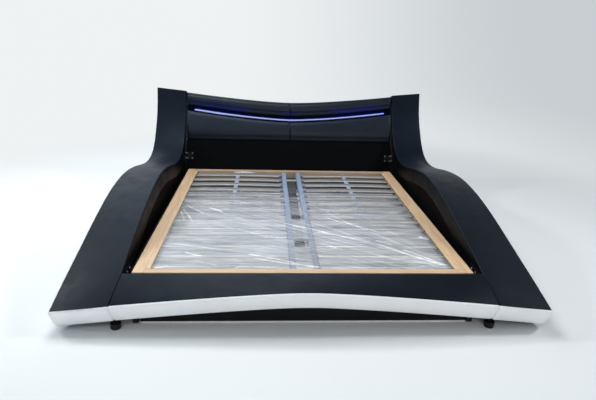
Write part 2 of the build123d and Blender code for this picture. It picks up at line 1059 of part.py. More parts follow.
def foot_bolt_axes(radius, length_side, length_foot):
    """Shanks of the right foot bracket: along the side leg and through the foot leg."""
    outer = inner_face - seat_gap
    leg_face = outer - foot_bracket_thickness
    parts = []
    for share in foot_bolt_shares:
        place = Pos(leg_face + length_side / 2, foot_bracket_length * share, foot_bracket_middle)
        parts.append(place * Rot(0, 90, 0) * Cylinder(radius, length_side))
    seat = foot_rear + seat_gap + foot_bracket_thickness
    x = outer - foot_bracket_width / 2 - foot_bracket_thickness / 2
    place = Pos(x, seat - length_foot / 2, foot_bracket_middle)
    parts.append(place * Rot(90, 0, 0) * Cylinder(radius, length_foot))
    return parts


def foot_bolt_heads():
    """Domed heads in the same order."""
    outer = inner_face - seat_gap
    leg_face = outer - foot_bracket_thickness
    head = fillet(
        Cylinder(bolt_head_radius, bolt_head_height).edges().sort_by(Axis.Z)[-1],
        bolt_head_height * bolt_dome_share,
    )
    parts = []
    for share in foot_bolt_shares:
        y = foot_bracket_length * share
        place = Pos(leg_face - bolt_head_height / 2, y, foot_bracket_middle)
        parts.append(place * Rot(0, -90, 0) * head)
    seat = foot_rear + seat_gap + foot_bracket_thickness
    x = outer - foot_bracket_width / 2 - foot_bracket_thickness / 2
    place = Pos(x, seat + bolt_head_height / 2, foot_bracket_middle)
    parts.append(place * Rot(-90, 0, 0) * head)
    return parts


foot_side_shank = foot_bracket_thickness + seat_gap + inner_side + inner_board_thickness
foot_shank = foot_bracket_thickness + 2 * seat_gap + cover_thickness + foot_board_thickness * foot_bolt_bite_share


def make_foot_bracket():
    """An angle bracket between the side and the rear of the footboard."""
    outer = inner_face - seat_gap
    low = foot_bracket_middle - foot_bracket_height / 2
    high = foot_bracket_middle + foot_bracket_height / 2
    seat = foot_rear + seat_gap
    thick = foot_bracket_thickness
    side = block((outer - thick, outer), (seat, foot_bracket_length), (low, high))
    leg = block((outer - foot_bracket_width, outer), (seat, seat + thick), (low, high))
    angle = side + leg
    for shank in foot_bolt_axes(hole_radius, foot_side_shank, foot_shank):
        angle -= shank
    return angle.solids()[0]


def make_foot_bolts():
    """The bolts of the right foot bracket."""
    shanks = foot_bolt_axes(bolt_shank_radius, foot_side_shank, foot_shank)
    return group([head + shank for head, shank in zip(foot_bolt_heads(), shanks)])


def drill_for_foot_bolts(part):
    """Clearance holes for the foot brackets' bolts, on the right side."""
    for shank in foot_bolt_axes(hole_radius, foot_side_shank + seat_gap, foot_shank + seat_gap):
        part = part - shank
    return part


def drill_both_sides(part, drill):
    """Drill a piece that spans the whole width at both of its ends."""
    return drill(mirrored(drill(part)))


foot_bracket = make_foot_bracket()
foot_bolts = make_foot_bolts()
side_liner = drill_for_foot_bolts(drill_for_head_bolts(side_liner))
side_board = drill_for_foot_bolts(drill_for_head_bolts(side_board))
side_cover = drill_for_foot_bolts(drill_for_head_bolts(side_cover))
lower_panel = drill_both_sides(lower_panel, drill_for_head_bolts)
foot_cover = drill_both_sides(foot_cover, drill_for_foot_bolts)
foot_board = drill_both_sides(foot_board, drill_for_foot_bolts)


# Middle support under the slatted base

crossbar_rear = base_length - crossbar_setback
crossbar_front = crossbar_rear - crossbar_width


def square_tube(x_pair, y_pair, z_pair, along):
    """A rectangular tube, open at both ends along one axis."""
    wall = tube_wall
    hollow = []
    for name, pair in zip("XYZ", (x_pair, y_pair, z_pair)):
        if name == along:
            hollow.append((pair[0] - overrun, pair[1] + overrun))
        else:
            hollow.append((pair[0] + wall, pair[1] - wall))
    return block(x_pair, y_pair, z_pair) - block(*hollow)


def make_crossbar():
    """The bar across the head end, on which the base's head rail lies."""
    reach = inner_face - seat_gap - side_gap - ledger_bearing
    return square_tube(
        (-reach, reach),
        (crossbar_front, crossbar_rear),
        (ledger_top - crossbar_height, ledger_top),
        "X",
    )


def make_centre_beam():
    """The beam along the middle, from the footboard to the crossbar."""
    return square_tube(
        (-centre_beam_width / 2, centre_beam_width / 2),
        (foot_rear - cover_thickness, crossbar_front - seat_gap),
        (ledger_top - centre_beam_height, ledger_top),
        "Y",
    )


def make_centre_legs():
    """Round legs under the beam, each with a wider foot."""
    top = ledger_top - centre_beam_height - seat_gap
    legs = []
    for share in centre_leg_shares:
        y = base_length * share
        leg = Pos(0, y, top / 2) * Cylinder(centre_leg_radius, top)
        pad_radius = centre_leg_radius * centre_leg_pad_share
        pad = Pos(0, y, foot_sole_height / 2) * Cylinder(pad_radius, foot_sole_height)
        legs.append(leg + pad)
    return group(legs)


crossbar = make_crossbar()
centre_beam = make_centre_beam()
centre_legs = make_centre_legs()


# The slatted base

rail_inner = base_width / 2 - side_rail_width


def make_side_rail():
    """A long outer rail of the base."""
    rail = block((rail_inner, base_width / 2), (0, base_length), (base_bottom, base_top))
    return fillet(rail.edges().filter_by(Axis.Y), rail_edge_radius)


def make_end_rail(y_near):
    """A cross rail between the long rails."""
    reach = rail_inner - seat_gap
    rail = block((-reach, reach), (y_near, y_near + end_rail_width), (base_bottom, base_top))
    return fillet(rail.edges().filter_by(Axis.X), rail_edge_radius)


inside_foot = end_rail_width + seat_gap
inside_head = base_length - end_rail_width - seat_gap
centre_rail_top = base_top - centre_rail_below_top
centre_outer = (centre_rail_spacing + centre_rail_width) / 2


def make_centre_rail():
    """One of the two long middle rails."""
    rail = block(
        (centre_outer - centre_rail_width, centre_outer),
        (inside_foot, inside_head),
        (centre_rail_top - centre_rail_height, centre_rail_top),
    )
    return fillet(rail.edges().filter_by(Axis.Y), rail_edge_radius / 2)


base_side_rail = make_side_rail()
base_foot_rail = make_end_rail(0)
base_head_rail = make_end_rail(base_length - end_rail_width)
base_centre_rail = make_centre_rail()

slat_left = centre_outer + seat_gap + holder_length - slat_pocket_depth
slat_right = rail_inner - seat_gap - holder_length + slat_pocket_depth
slat_end_top = base_top - slat_end_below_top
slat_pitch = (inside_head - inside_foot) / slat_count


def slat_places():
    """Middle of each slat along the bed."""
    return [inside_foot + slat_pitch * (i + 0.5) for i in range(slat_count)]


def slat_solid(margin):
    """One sprung slat at y zero, bowed upwards, grown by a margin for its pockets."""
    middle = (slat_left + slat_right) / 2
    top = slat_end_top + margin
    low = slat_end_top - slat_thickness - margin
    half = slat_width / 2 + margin
    left, right = slat_left - margin, slat_right + margin
    upper = Edge.make_three_point_arc(
        Vector(left, -half, top), Vector(middle, -half, top + slat_crown), Vector(right, -half, top))
    lower = Edge.make_three_point_arc(
        Vector(right, -half, low), Vector(middle, -half, low + slat_crown), Vector(left, -half, low))
    outline = Wire([
        upper,
        Edge.make_line(Vector(right, -half, top), Vector(right, -half, low)),
        lower,
        Edge.make_line(Vector(left, -half, low), Vector(left, -half, top)),
    ])
    return Solid.extrude(Face(outline), Vector(0, 2 * half, 0))


def holder_solid(x_low, x_high):
    """A slat holder at y zero, with a pocket for the slat's end."""
    middle = slat_end_top - slat_thickness / 2
    low, high = middle - holder_height / 2, middle + holder_height / 2
    body = block((x_low, x_high), (-holder_width / 2, holder_width / 2), (low, high))
    body = fillet(body.edges().filter_by(Axis.Z), rail_edge_radius)
    return (body - slat_solid(seat_gap)).solids()[0]


def repeat_along(part):
    """Copies of a piece at every slat."""
    return group([Pos(0, y, 0) * part for y in slat_places()])


slats = repeat_along(slat_solid(0))
outer_holders = repeat_along(holder_solid(rail_inner - seat_gap - holder_length, rail_inner - seat_gap))
inner_holders = repeat_along(holder_solid(centre_outer + seat_gap, centre_outer + seat_gap + holder_length))


def make_strap():
    """The webbing strap under the middle of the slats of one half."""
    middle = (slat_left + slat_right) / 2
    top = slat_end_top + slat_crown - slat_thickness - slat_crown * strap_bow_share - seat_gap
    return block(
        (middle - strap_width / 2, middle + strap_width / 2),
        (inside_foot, inside_head),
        (top - strap_thickness, top),
    )


def make_cross_plates():
    """Dark plates that tie the middle rails together from below."""
    top = centre_rail_top - centre_rail_height - seat_gap
    plates = []
    for share in cross_plate_shares:
        y = base_length * share
        plates.append(block(
            (-cross_plate_width / 2, cross_plate_width / 2),
            (y - cross_plate_length / 2, y + cross_plate_length / 2),
            (top - cross_plate_thickness, top),
        ))
    return group(plates)


def make_head_batten():
    """A thin batten between the middle rails near the head."""
    reach = centre_outer - centre_rail_width - seat_gap
    y = base_length * head_batten_share
    return block(
        (-reach, reach),
        (y - head_batten_width / 2, y + head_batten_width / 2),
        (centre_rail_top - head_batten_thickness, centre_rail_top),
    )


def make_film():
    """The clear wrapping film, spread over the slats between the rails."""
    low = slat_end_top + slat_crown + seat_gap
    return block(
        (film_margin - rail_inner, rail_inner - film_margin),
        (inside_foot, inside_head),
        (low, low + film_thickness),
    )


def make_base_screws():
    """Screw heads on the outer faces of the long rails, into the cross rails."""
    head = Rot(0, 90, 0) * Cylinder(base_screw_head_radius, base_screw_head_height)
    screws = []
    x = base_width / 2 + base_screw_head_height / 2
    for y in (end_rail_width / 2, base_length - end_rail_width / 2):
        for z_share in base_screw_shares:
            z = base_bottom + base_rail_height * z_share
            screws.append(Pos(x, y, z) * head)
    return both(group(screws))


strap = make_strap()
cross_plates = make_cross_plates()
head_batten = make_head_batten()
film = make_film()
base_screws = make_base_screws()

# All nodes, with the left pieces mirrored from the right ones

pieces = {
    "foot_board": foot_board,
    "foot_foam": foot_foam,
    "foot_deck": foot_deck,
    "foot_cover": foot_cover,
    "foot_band": foot_band,
    "foot_plinth": foot_plinth,
    "plinth_strip": plinth_strip,
    "plinth_feet": plinth_feet,
    "side_feet": side_feet,
    "headboard_panel": head_board,
    "headboard_posts": head_posts,
    "headboard_packers": head_packers,
    "headboard_lower_panel": lower_panel,
    "headboard_lower_cushion": lower_cushion,
    "headboard_upper_cushion": upper_cushion,
    "headboard_groove_back": groove_back,
    "headboard_back_cover": back_cover,
    "headboard_feet": head_feet,
    "light_channel": light_channel,
    "light_strip": light_strip,
    "light_diffuser": light_diffuser,
    "light_driver": light_driver,
    "head_crossbar": crossbar,
    "centre_beam": centre_beam,
    "centre_legs": centre_legs,
    "base_foot_rail": base_foot_rail,
    "base_head_rail": base_head_rail,
    "base_cross_plates": cross_plates,
    "base_head_batten": head_batten,
    "base_screws": base_screws,
    "base_film": film,
}
sided = {
    "side_cover": side_cover,
    "side_foam": side_foam,
    "side_deck": side_deck,
    "side_edging": side_edging,
    "side_board": side_board,
    "base_slats": slats,
    "base_holders": group([outer_holders, inner_holders]),
}
paired = {
    "side_noses": side_nose,
    "wing_caps": wing_cap,
    "side_undersides": side_underside,
    "side_plinths": side_plinth,
    "side_ledgers": side_ledger,
    "base_side_rails": base_side_rail,
    "side_liners": side_liner,
    "side_ribs": side_ribs,
    "head_brackets": head_bracket,
    "head_bolts": head_bolts,
    "foot_brackets": foot_bracket,
    "foot_bolts": foot_bolts,
    "base_centre_rails": base_centre_rail,
    "base_straps": strap,
}
for name, part in sided.items():
    pieces[name + "_right"] = part
    pieces[name + "_left"] = mirrored(part)
for name, part in paired.items():
    pieces[name] = both(part)


def whole_box():
    """The box round all pieces, to find the middle of the bed's length."""
    boxes = [part.bounding_box() for part in pieces.values()]
    return min(b.min.Y for b in boxes), max(b.max.Y for b in boxes)


foot_limit, head_limit = whole_box()
middle_y = (foot_limit + head_limit) / 2
os.makedirs("parts", exist_ok=True)
for name, part in pieces.items():
    placed = [Pos(0, -middle_y, 0) * solid for solid in part.solids()]
    export_step(Compound(placed), "parts/" + name + ".step")
print("middle of the length", round(middle_y, 3), "length", round(head_limit - foot_limit, 2))
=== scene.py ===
from functools import partial
from math import radians

import bpy
import numpy as np
from bpy.props import FloatProperty, FloatVectorProperty, PointerProperty
from mathutils import Matrix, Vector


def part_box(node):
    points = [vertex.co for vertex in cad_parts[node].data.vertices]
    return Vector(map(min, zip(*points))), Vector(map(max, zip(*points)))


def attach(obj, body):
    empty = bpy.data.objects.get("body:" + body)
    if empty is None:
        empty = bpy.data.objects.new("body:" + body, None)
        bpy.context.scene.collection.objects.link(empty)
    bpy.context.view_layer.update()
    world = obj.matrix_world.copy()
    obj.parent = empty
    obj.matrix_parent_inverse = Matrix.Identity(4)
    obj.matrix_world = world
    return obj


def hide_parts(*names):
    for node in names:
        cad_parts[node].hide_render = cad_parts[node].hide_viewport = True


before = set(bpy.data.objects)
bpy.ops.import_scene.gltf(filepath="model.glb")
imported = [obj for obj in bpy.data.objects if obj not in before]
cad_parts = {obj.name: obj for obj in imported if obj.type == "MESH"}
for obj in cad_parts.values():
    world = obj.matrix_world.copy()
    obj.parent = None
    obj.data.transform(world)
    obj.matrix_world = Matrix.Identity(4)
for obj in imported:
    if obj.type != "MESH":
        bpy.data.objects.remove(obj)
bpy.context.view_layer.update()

bl_info = {
    "name": "Wave bed",
    "version": (1, 0, 0),
    "blender": (4, 5, 0),
    "location": "View3D > Sidebar > Bed",
    "description": "Leather, padding, light, film and stage of a wave-shaped bed",
    "category": "Object",
}

# All lengths are in metres, in the frame of the solids: X across, Y from foot to head, Z up.

# The bed's main sizes, as its solids have them
MIDDLE_Y = 1.128357
INNER_FACE = 0.945
FOOT_HALF_WIDTH = 1.252
WING_HALF_WIDTH = 1.208
NOSE_PAD = 0.012
WAVE_START = -0.195
WAVE_LENGTH = 2.547
WING_INNER_HEIGHT = 0.868
WING_OUTER_HEIGHT = 0.893
WAVE_Y_SHARES = (0, 0.081, 0.159, 0.315, 0.511, 0.667, 0.804, 0.882, 0.941, 0.98, 1)
INNER_RISE_SHARES = (0, 0.122, 0.204, 0.34, 0.429, 0.354, 0.297, 0.368, 0.552, 0.782, 1)
OUTER_RISE_SHARES = (0, 0.082, 0.156, 0.301, 0.4, 0.354, 0.293, 0.358, 0.55, 0.762, 1)
RIBBON_THICKNESS = 0.11
SIDE_TUCK = 0.024
FRONT_TUCK_SHARE = 0.2
FRONT_TUCK_REACH = 0.3
SEAM_SPREAD = 0.022
EDGING_THICKNESS = 0.003
BOARD_SIDE = 0.025
BOARD_DEPTH = 0.042
FOAM_BOTTOM = 0.0955
FOOT_END = 0.942
FOOT_REAR = -0.006
FOOT_REAR_TOP = 0.242
FOOT_RETURN = 0.06
FOOT_BOARD_FRONT = -0.0333
FOOT_BOARD_TOP = 0.2103
ARCH_TOP = 0.228
ARCH_FALL = 0.1
ARCH_POWER = 1.24
ARCH_ROUND = 0.07
HEAD_Y = 2.12
BASE_TOP = 0.24
HEAD_LEAN = radians(19.6)
HEAD_END = 0.938
HEAD_BACK = -0.118
CUSHION_BACK = -0.0603
CUSHION_BOTTOM = 0.236
UNDER_LEAN = 0.015
UNDER_REACH = 0.095
TOP_MIDDLE = 0.594
TOP_RISE = 0.106
TOP_REACH = 1.185
TOP_RETURN = 0.03
LIGHT_MIDDLE = 0.421
LIGHT_RISE = 0.08
LIGHT_REACH = 0.868
SMILE_POWER = 1.42
SMILE_ROUND = 0.05
CHANNEL_HALF = 0.008
GROOVE_HEIGHT = 0.05
SLAT_COUNT = 14
SLAT_PITCH = 0.13624
SLAT_INNER_END = 0.085
FIRST_LINE = 0.0835 - MIDDLE_Y
MIDDLE_RAIL_INNER = 0.0435
PLATE_PLACES = (-0.728, -0.288, 0.192)
RAIL_INNER = 0.84
FILM_HALF_WIDTH = 0.8135

# Small gaps between a piece and what lies beside it
FILM_GAP = 0.0002
LIP_GAP = 0.0002
SEAT_GAP = 0.0003
COVER_GAP = 0.0005
LIP_LIFT = 0.0012
FOOT_SIDE_GAP = 0.001
FILM_INSET = 0.001
BOARD_GAP = 0.0022

# Rounding, crowns and draws of the padded pieces
RAIL_OUTER_ROUND = 0.005
EDGING_CROWN = 0.0025
EDGING_ROUND = 0.0026
PAD_CORNER_ROUND = 0.006
PAD_REACH = 0.046
NOSE_ROUND = 0.008
NOSE_LOW_ROUND = 0.034
NOSE_SEAM_SLANT = 0.35
CAP_THICKNESS = 0.009
CAP_ROUND = 0.007
CAP_CROWN = 0.002
FOOT_CROWN_SHARE = 1.4
FOOT_REAR_ROUND = 0.012
FOOT_FRONT_ROUND = 0.006
BAND_ROUND = 0.009
BAND_END_DRAW = 0.004
BAND_LOW_SPREAD = 0.65
SEAM_PARTS = ((0.7, 0.0035), (0.3, 0.016))
CUSHION_FINE_REACH = 0.03
CUSHION_SOFT_DEPTH = 0.05
CUSHION_UNEVENNESS = 1.6
CUSHION_END_DRAW = 0.012
CUSHION_END_REACH = 0.006
CUSHION_TOP_ROUND = 0.02
CUSHION_BACK_ROUND = 0.008
GROOVE_ROUND = 0.011
LOW_ROLL = 0.036
HIGH_ROLL = 0.034
LIP_ROUND = 0.003

# The film's folds, its gathered border and the clearer places over the middle rails and their plates
FOLD_STRENGTH = 1.35
FAN_STRENGTH = 1.25
GATHER_REACH = 0.018
GATHER_HEIGHT = 0.004
RAIL_BLUR = 0.006
PLATE_BLUR = 0.045

# Points of a curve before it is divided, and rows of points in the meshes
DENSE_POINTS = 4000
RAIL_ROWS = 210
EDGING_ROWS = 150
CROSS_ROWS = 161
FILM_COLUMNS, FILM_ROWS = 300, 326

# The backdrop: where its floor begins and ends, its bend, its top and its half width
FLOOR_FRONT, FLOOR_REAR = -9.0, 7.0
SWEEP_RADIUS = 3.0
SWEEP_TOP = 9.0
SWEEP_HALF_WIDTH = 14.0

# The camera, solved from the slatted base's corners in the photo
CAMERA_PLACE = (-0.2134, -2.3928 - MIDDLE_Y, 1.458)
CAMERA_YAW = 0.066
CAMERA_PITCH = 0.328
CAMERA_ROLL = 0.032
CAMERA_LENS = 30.76
SENSOR_WIDTH = 36.0


class BedSizes(bpy.types.PropertyGroup):
    """Sizes of the padding and the film"""

    ribbon_crown: FloatProperty(
        name="Side crown", description="How far the side rails' leather rises in its middle",
        default=0.004, unit="LENGTH",
    )
    edge_radius: FloatProperty(
        name="Edge radius", description="Rounding of the leather's upper edges", default=0.011, unit="LENGTH",
    )
    cushion_crown: FloatProperty(
        name="Cushion crown", description="How far the headboard cushions stand out", default=0.013, unit="LENGTH",
    )
    seam_depth: FloatProperty(
        name="Seam depth", description="Depth of the cushions' sewn middle seam", default=0.009, unit="LENGTH",
    )
    band_bulge: FloatProperty(
        name="Band bulge", description="How far the white band stands out in its middle", default=0.005, unit="LENGTH",
    )
    unevenness: FloatProperty(
        name="Unevenness", description="Height of the slow waves in the leather", default=0.0008, unit="LENGTH",
    )
    film_wrinkle: FloatProperty(
        name="Film wrinkles", description="Height of the film's wrinkles", default=0.004, unit="LENGTH",
    )


class BedColours(bpy.types.PropertyGroup):
    """Colours of the finishes, in linear values"""

    leather: FloatVectorProperty(
        name="Black leather", description="Leather of the rails, foot and headboard", subtype="COLOR", size=3,
        default=(0.0044, 0.007, 0.0126),
    )
    leather_light: FloatVectorProperty(
        name="Black leather, worn", description="The leather's lighter patches", subtype="COLOR", size=3,
        default=(0.0062, 0.0096, 0.0168),
    )
    white: FloatVectorProperty(
        name="White leather", description="Leather of the white band", subtype="COLOR", size=3,
        default=(0.88, 0.895, 0.905),
    )
    birch: FloatVectorProperty(
        name="Birch", description="Wood of the slatted base's rails", subtype="COLOR", size=3,
        default=(0.76, 0.55, 0.35),
    )
    birch_dark: FloatVectorProperty(
        name="Birch grain", description="Darker lines of that wood", subtype="COLOR", size=3, default=(0.6, 0.4, 0.225),
    )
    slat: FloatVectorProperty(
        name="Slats", description="Coated face of the slats", subtype="COLOR", size=3, default=(0.21, 0.205, 0.195),
    )
    # Also the colour of the painted highlights on the film over the slats' edges
    slat_edge_and_highlight: FloatVectorProperty(
        name="Slat edges", description="Uncoated edges of the slats", subtype="COLOR", size=3,
        default=(0.92, 0.86, 0.75),
    )
    steel: FloatVectorProperty(
        name="Middle rails", description="Paint of the middle rails", subtype="COLOR", size=3,
        default=(0.22, 0.29, 0.38),
    )
    webbing: FloatVectorProperty(
        name="Webbing", description="Straps under the slats", subtype="COLOR", size=3, default=(0.27, 0.33, 0.42),
    )
    film: FloatVectorProperty(
        name="Film", description="Haze of the wrapping film", subtype="COLOR", size=3, default=(0.53, 0.555, 0.58),
    )
    light_core: FloatVectorProperty(
        name="Light", description="The light strip as it is seen", subtype="COLOR", size=3, default=(0.84, 1.0, 0.9),
    )
    light_glow: FloatVectorProperty(
        name="Glow", description="What the light strip casts on the leather", subtype="COLOR", size=3,
        default=(0.004, 0.02, 1.0),
    )
    background: FloatVectorProperty(
        name="Background", description="Floor and the backdrop's left", subtype="COLOR", size=3,
        default=(0.86, 0.89, 0.9),
    )
    # Painted shade: the darker colour that the floor and backdrop fade to towards the right and the rear
    backdrop_painted_shade: FloatVectorProperty(
        name="Background, right", description="The backdrop's right side", subtype="COLOR", size=3,
        default=(0.58, 0.615, 0.64),
    )


class BedLamps(bpy.types.PropertyGroup):
    """Strength of the studio's light"""

    left: FloatProperty(name="Left", description="Lamp on the left", default=85.0, subtype="POWER")
    right: FloatProperty(name="Right", description="Lamp on the right", default=92.0, subtype="POWER")
    rear: FloatProperty(name="Rear", description="Large panel behind on the left", default=104.0, subtype="POWER")
    top: FloatProperty(name="Top", description="Softbox over the bed", default=105.0, subtype="POWER")
    high: FloatProperty(name="High", description="Softbox high before the foot", default=52.0, subtype="POWER")
    low: FloatProperty(name="Low", description="Softbox low before the foot", default=74.0, subtype="POWER")
    room: FloatProperty(name="Room", description="Even light of the studio", default=0.08)
    strip: FloatProperty(name="Strip", description="Light that the strip casts", default=14.0)


# Surfaces


def unit(v):
    """Vectors divided by their own lengths."""
    return v / np.maximum(np.linalg.norm(v, axis=-1, keepdims=True), 1e-12)


def places(x, y, z):
    """Points from three coordinates, each one number or an array."""
    return np.stack(np.broadcast_arrays(x, y, z), axis=-1)


def cubic(points, count):
    """A curve through points: one cubic per bay, run by chord length, with steady bends across the joins and none at
    the ends."""
    p = np.asarray(points, float)
    t = np.concatenate(([0.0], np.cumsum(np.linalg.norm(np.diff(p, axis=0), axis=1))))
    h = np.diff(t)
    n = len(p)
    inner = np.arange(1, n - 1)
    a = np.eye(n)
    a[inner, inner - 1] = h[:-1]
    a[inner, inner] = 2 * (h[:-1] + h[1:])
    a[inner, inner + 1] = h[1:]
    rhs = np.zeros_like(p)
    rhs[1:-1] = 6 * np.diff(np.diff(p, axis=0) / h[:, None], axis=0)
    bend = np.linalg.solve(a, rhs)
    x = np.linspace(0, t[-1], count)
    k = np.clip(np.searchsorted(t, x, side="right") - 1, 0, n - 2)
    w = ((x - t[k]) / h[k])[:, None]
    hk = h[k][:, None]
    cubic_part = ((1 - w) ** 3 - (1 - w)) * bend[k] + (w ** 3 - w) * bend[k + 1]
    return (1 - w) * p[k] + w * p[k + 1] + hk ** 2 / 6 * cubic_part


def by_length(curve, shares):
    """Points of a dense curve at shares of its length."""
    run = np.concatenate(([0.0], np.cumsum(np.linalg.norm(np.diff(curve, axis=0), axis=1))))
    at = np.asarray(shares) * run[-1]
    return np.stack([np.interp(at, run, curve[:, i]) for i in range(3)], axis=1)


def rounded(x, reach):
    """Distance from the middle, as a hyperbola that is flat there and nears a straight line beyond its reach."""
    return np.sqrt(np.square(x) + reach ** 2) - reach


def arch(x):
    """Height of the foot's top edge: it falls with a power of the distance, which is rounded off near the middle."""
    return ARCH_TOP - ARCH_FALL * (rounded(x, ARCH_ROUND) / rounded(FOOT_HALF_WIDTH, ARCH_ROUND)) ** ARCH_POWER


def seam_spread(y):
    """How far the seam beside the foot has moved outwards: it grows in a straight line from the foot's rear to its
    front."""
    forward = (FOOT_REAR - MIDDLE_Y - y) / (FOOT_REAR - WAVE_START)
    return SEAM_SPREAD * np.clip(forward, 0, 1)


class Wave:
    """Cross-sections of the right side rail along its run, as whole arrays."""

    def __init__(self, count):
        shares = np.linspace(0, 1, count)
        inner = self.edge(INNER_FACE, INNER_FACE, WING_INNER_HEIGHT, INNER_RISE_SHARES)
        outer = self.edge(FOOT_HALF_WIDTH, WING_HALF_WIDTH, WING_OUTER_HEIGHT, OUTER_RISE_SHARES)
        self.inner, self.outer = by_length(inner, shares), by_length(outer, shares)
        run = np.gradient(self.inner, axis=0)
        run[:, 0] = 0
        self.run = unit(run)
        self.down = np.stack([run[:, 0], self.run[:, 2], -self.run[:, 1]], axis=1)
        self.across = unit(self.outer - self.inner)
        rise = np.clip((self.inner[:, 1:2] + MIDDLE_Y - WAVE_START) / FRONT_TUCK_REACH, 0, 1)
        self.tuck = SIDE_TUCK * (FRONT_TUCK_SHARE + (1 - FRONT_TUCK_SHARE) * rise * rise * (3 - 2 * rise))
        self.spread = seam_spread(self.inner[:, 1:2])

    @staticmethod
    def edge(x_foot, x_head, height, rise_shares):
        """One long edge, from shares of its length and of its rise."""
        low = arch(x_foot)
        y = np.array(WAVE_Y_SHARES)
        z = low + (height - low) * np.array(rise_shares)
        return cubic(places(x_foot + (x_head - x_foot) * y, WAVE_START + WAVE_LENGTH * y - MIDDLE_Y, z), DENSE_POINTS)

    def at_inner(self, inset, depth):
        """Points that far from the inner side, moved out with its seam, and below the upper face."""
        return self.inner + self.across * (inset + self.spread) + self.down * depth

    def at_outer(self, inset, depth):
        """The same from the outer side, which draws in towards its lower edge, least at the foot."""
        tucked = inset + self.tuck * depth / RIBBON_THICKNESS
        return self.outer - self.across * tucked + self.down * depth


def corner_at(points, radius=0, lift=None, flatness=1):
    """A corner of closed profiles: its points, its radius or radii, and how the side after it is raised."""
    return points, radius, lift, flatness


def outline(corners, steps=6, bays=14):
    """Rows of closed profiles. Each corner is rounded by a parabola between its two tangent points, and the side after
    it is raised by its lift times a half sine to the power of its flatness."""
    columns = []
    entries, exits = [], []
    count = len(corners)
    for k, (here, radius, *_) in enumerate(corners):
        before, after = corners[k - 1][0], corners[(k + 1) % count][0]
        entries.append(here + unit(before - here) * radius)
        exits.append(here + unit(after - here) * radius)
    for k, (here, radius, lift, flatness) in enumerate(corners):
        if np.max(radius) > 0:
            t = np.linspace(0, 1, steps)[None, :, None]
            entry, leave = entries[k][:, None], exits[k][:, None]
            columns.append((1 - t) ** 2 * entry + 2 * t * (1 - t) * here[:, None] + t ** 2 * leave)
        else:
            columns.append(here[:, None])
        if lift is not None:
            t = np.linspace(0, 1, bays + 2)[1:-1][None, :, None]
            straight = exits[k][:, None] * (1 - t) + entries[(k + 1) % count][:, None] * t
            columns.append(straight + lift[:, None] * np.sin(np.pi * t) ** flatness)
    return np.concatenate(columns, axis=1)


def skin(name, rows, wrap=True, caps=True, flip=False, sharp=38):
    """A mesh over rows of points: quads between neighbours, round each row if it is closed, and a face at each end."""
    m, n = rows.shape[:2]
    index = np.arange(m * n).reshape(m, n)
    if wrap:
        near, far = index, np.roll(index, -1, axis=1)
    else:
        near, far = index[:, :-1], index[:, 1:]
    quads = np.stack([near[:-1], far[:-1], far[1:], near[1:]], axis=-1).reshape(-1, 4)
    ends = [index[0][::-1], index[-1]] if caps and wrap else []
    if flip:
        quads, ends = quads[:, ::-1], [end[::-1] for end in ends]
    faces = quads.tolist() + [end.tolist() for end in ends]
    mesh = bpy.data.meshes.new(name)
    mesh.from_pydata(rows.reshape(-1, 3).tolist(), [], faces)
    mesh.validate()
    mesh.polygons.foreach_set("use_smooth", np.ones(len(mesh.polygons), bool))
    mesh.update()
    mesh.set_sharp_from_angle(angle=radians(sharp))
    piece = bpy.data.objects.new(name, mesh)
    bpy.context.collection.objects.link(piece)
    return piece


def mirrored(rows):
    """The same rows on the left side of the bed."""
    return rows * np.array([-1.0, 1.0, 1.0])


def both_sides(rows):
    """The rows of the right side and of the left, each with its side's name."""
    return ("right", rows), ("left", mirrored(rows))


def set_attribute(piece, name, values):
    """Writes one value to each point of a piece."""
    layer = piece.data.attributes.new(name, "FLOAT", "POINT")
    layer.data.foreach_set("value", values)


def half_sine(count, first, over=24):
    """Zeros, with a half sine over some of them from the first given."""
    values = np.zeros(count)
    values[first:first + over] = np.sin(np.linspace(0, np.pi, over))
    return values


def slow_waves(rows, height, seed):
    """Unevenness of drawn leather: a sum of six plane sine waves with fixed random directions and phases."""
    rng = np.random.default_rng(seed)
    total = np.zeros(rows.shape[:2])
    for length in (0.55, 0.31, 0.19, 0.13, 0.09, 0.06):
        way = unit(rng.normal(size=3))
        total += length * np.sin(rows @ way * 2 * np.pi / length + rng.uniform(0, 2 * np.pi))
    return total * height / 0.7


def finish_piece(piece, material, body="bed_frame", nodes=()):
    """Gives a piece its material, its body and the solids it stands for."""
    piece.data.materials.append(material)
    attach(piece, body)
    if nodes:
        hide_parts(*nodes)


# Finishes


def new_group(name, inputs, outputs):
    """A shader node group with named inputs, each with what it is when nothing is given, and named number outputs."""
    tree = bpy.data.node_groups.new(name, "ShaderNodeTree")
    for label, value in inputs.items():
        kind = "NodeSocketVector" if isinstance(value, tuple) else "NodeSocketFloat"
        tree.interface.new_socket(label, in_out="INPUT", socket_type=kind).default_value = value
    for label in outputs:
        tree.interface.new_socket(label, in_out="OUTPUT", socket_type="NodeSocketFloat")
    return tree, tree.nodes.new("NodeGroupInput").outputs, tree.nodes.new("NodeGroupOutput").inputs


def feed(tree, value, socket):
    """Links an output to an input, or sets a number or a colour there."""
    if isinstance(value, bpy.types.NodeSocket):
        tree.links.new(value, socket)
    else:
        socket.default_value = (*value, 1) if isinstance(value, tuple) else value


def node(tree, kind, **values):
    """A node with its properties set, and its input sockets fed where the name is one."""
    made = tree.nodes.new(kind)
    for key, value in values.items():
        if hasattr(made, key):
            setattr(made, key, value)
        else:
            feed(tree, value, made.inputs[key.replace("_", " ")])
    return made


def arithmetic(tree, operation, *values):
    """A Math node of values or sockets."""
    made = node(tree, "ShaderNodeMath", operation=operation)
    for value, socket in zip(values, made.inputs):
        feed(tree, value, socket)
    return made.outputs[0]


def ranged(tree, value, low, high, to_low, to_high):
    """A Map Range node, smooth and clamped."""
    made = node(tree, "ShaderNodeMapRange", interpolation_type="SMOOTHSTEP", Value=value,
                From_Min=low, From_Max=high, To_Min=to_low, To_Max=to_high)
    return made.outputs["Result"]


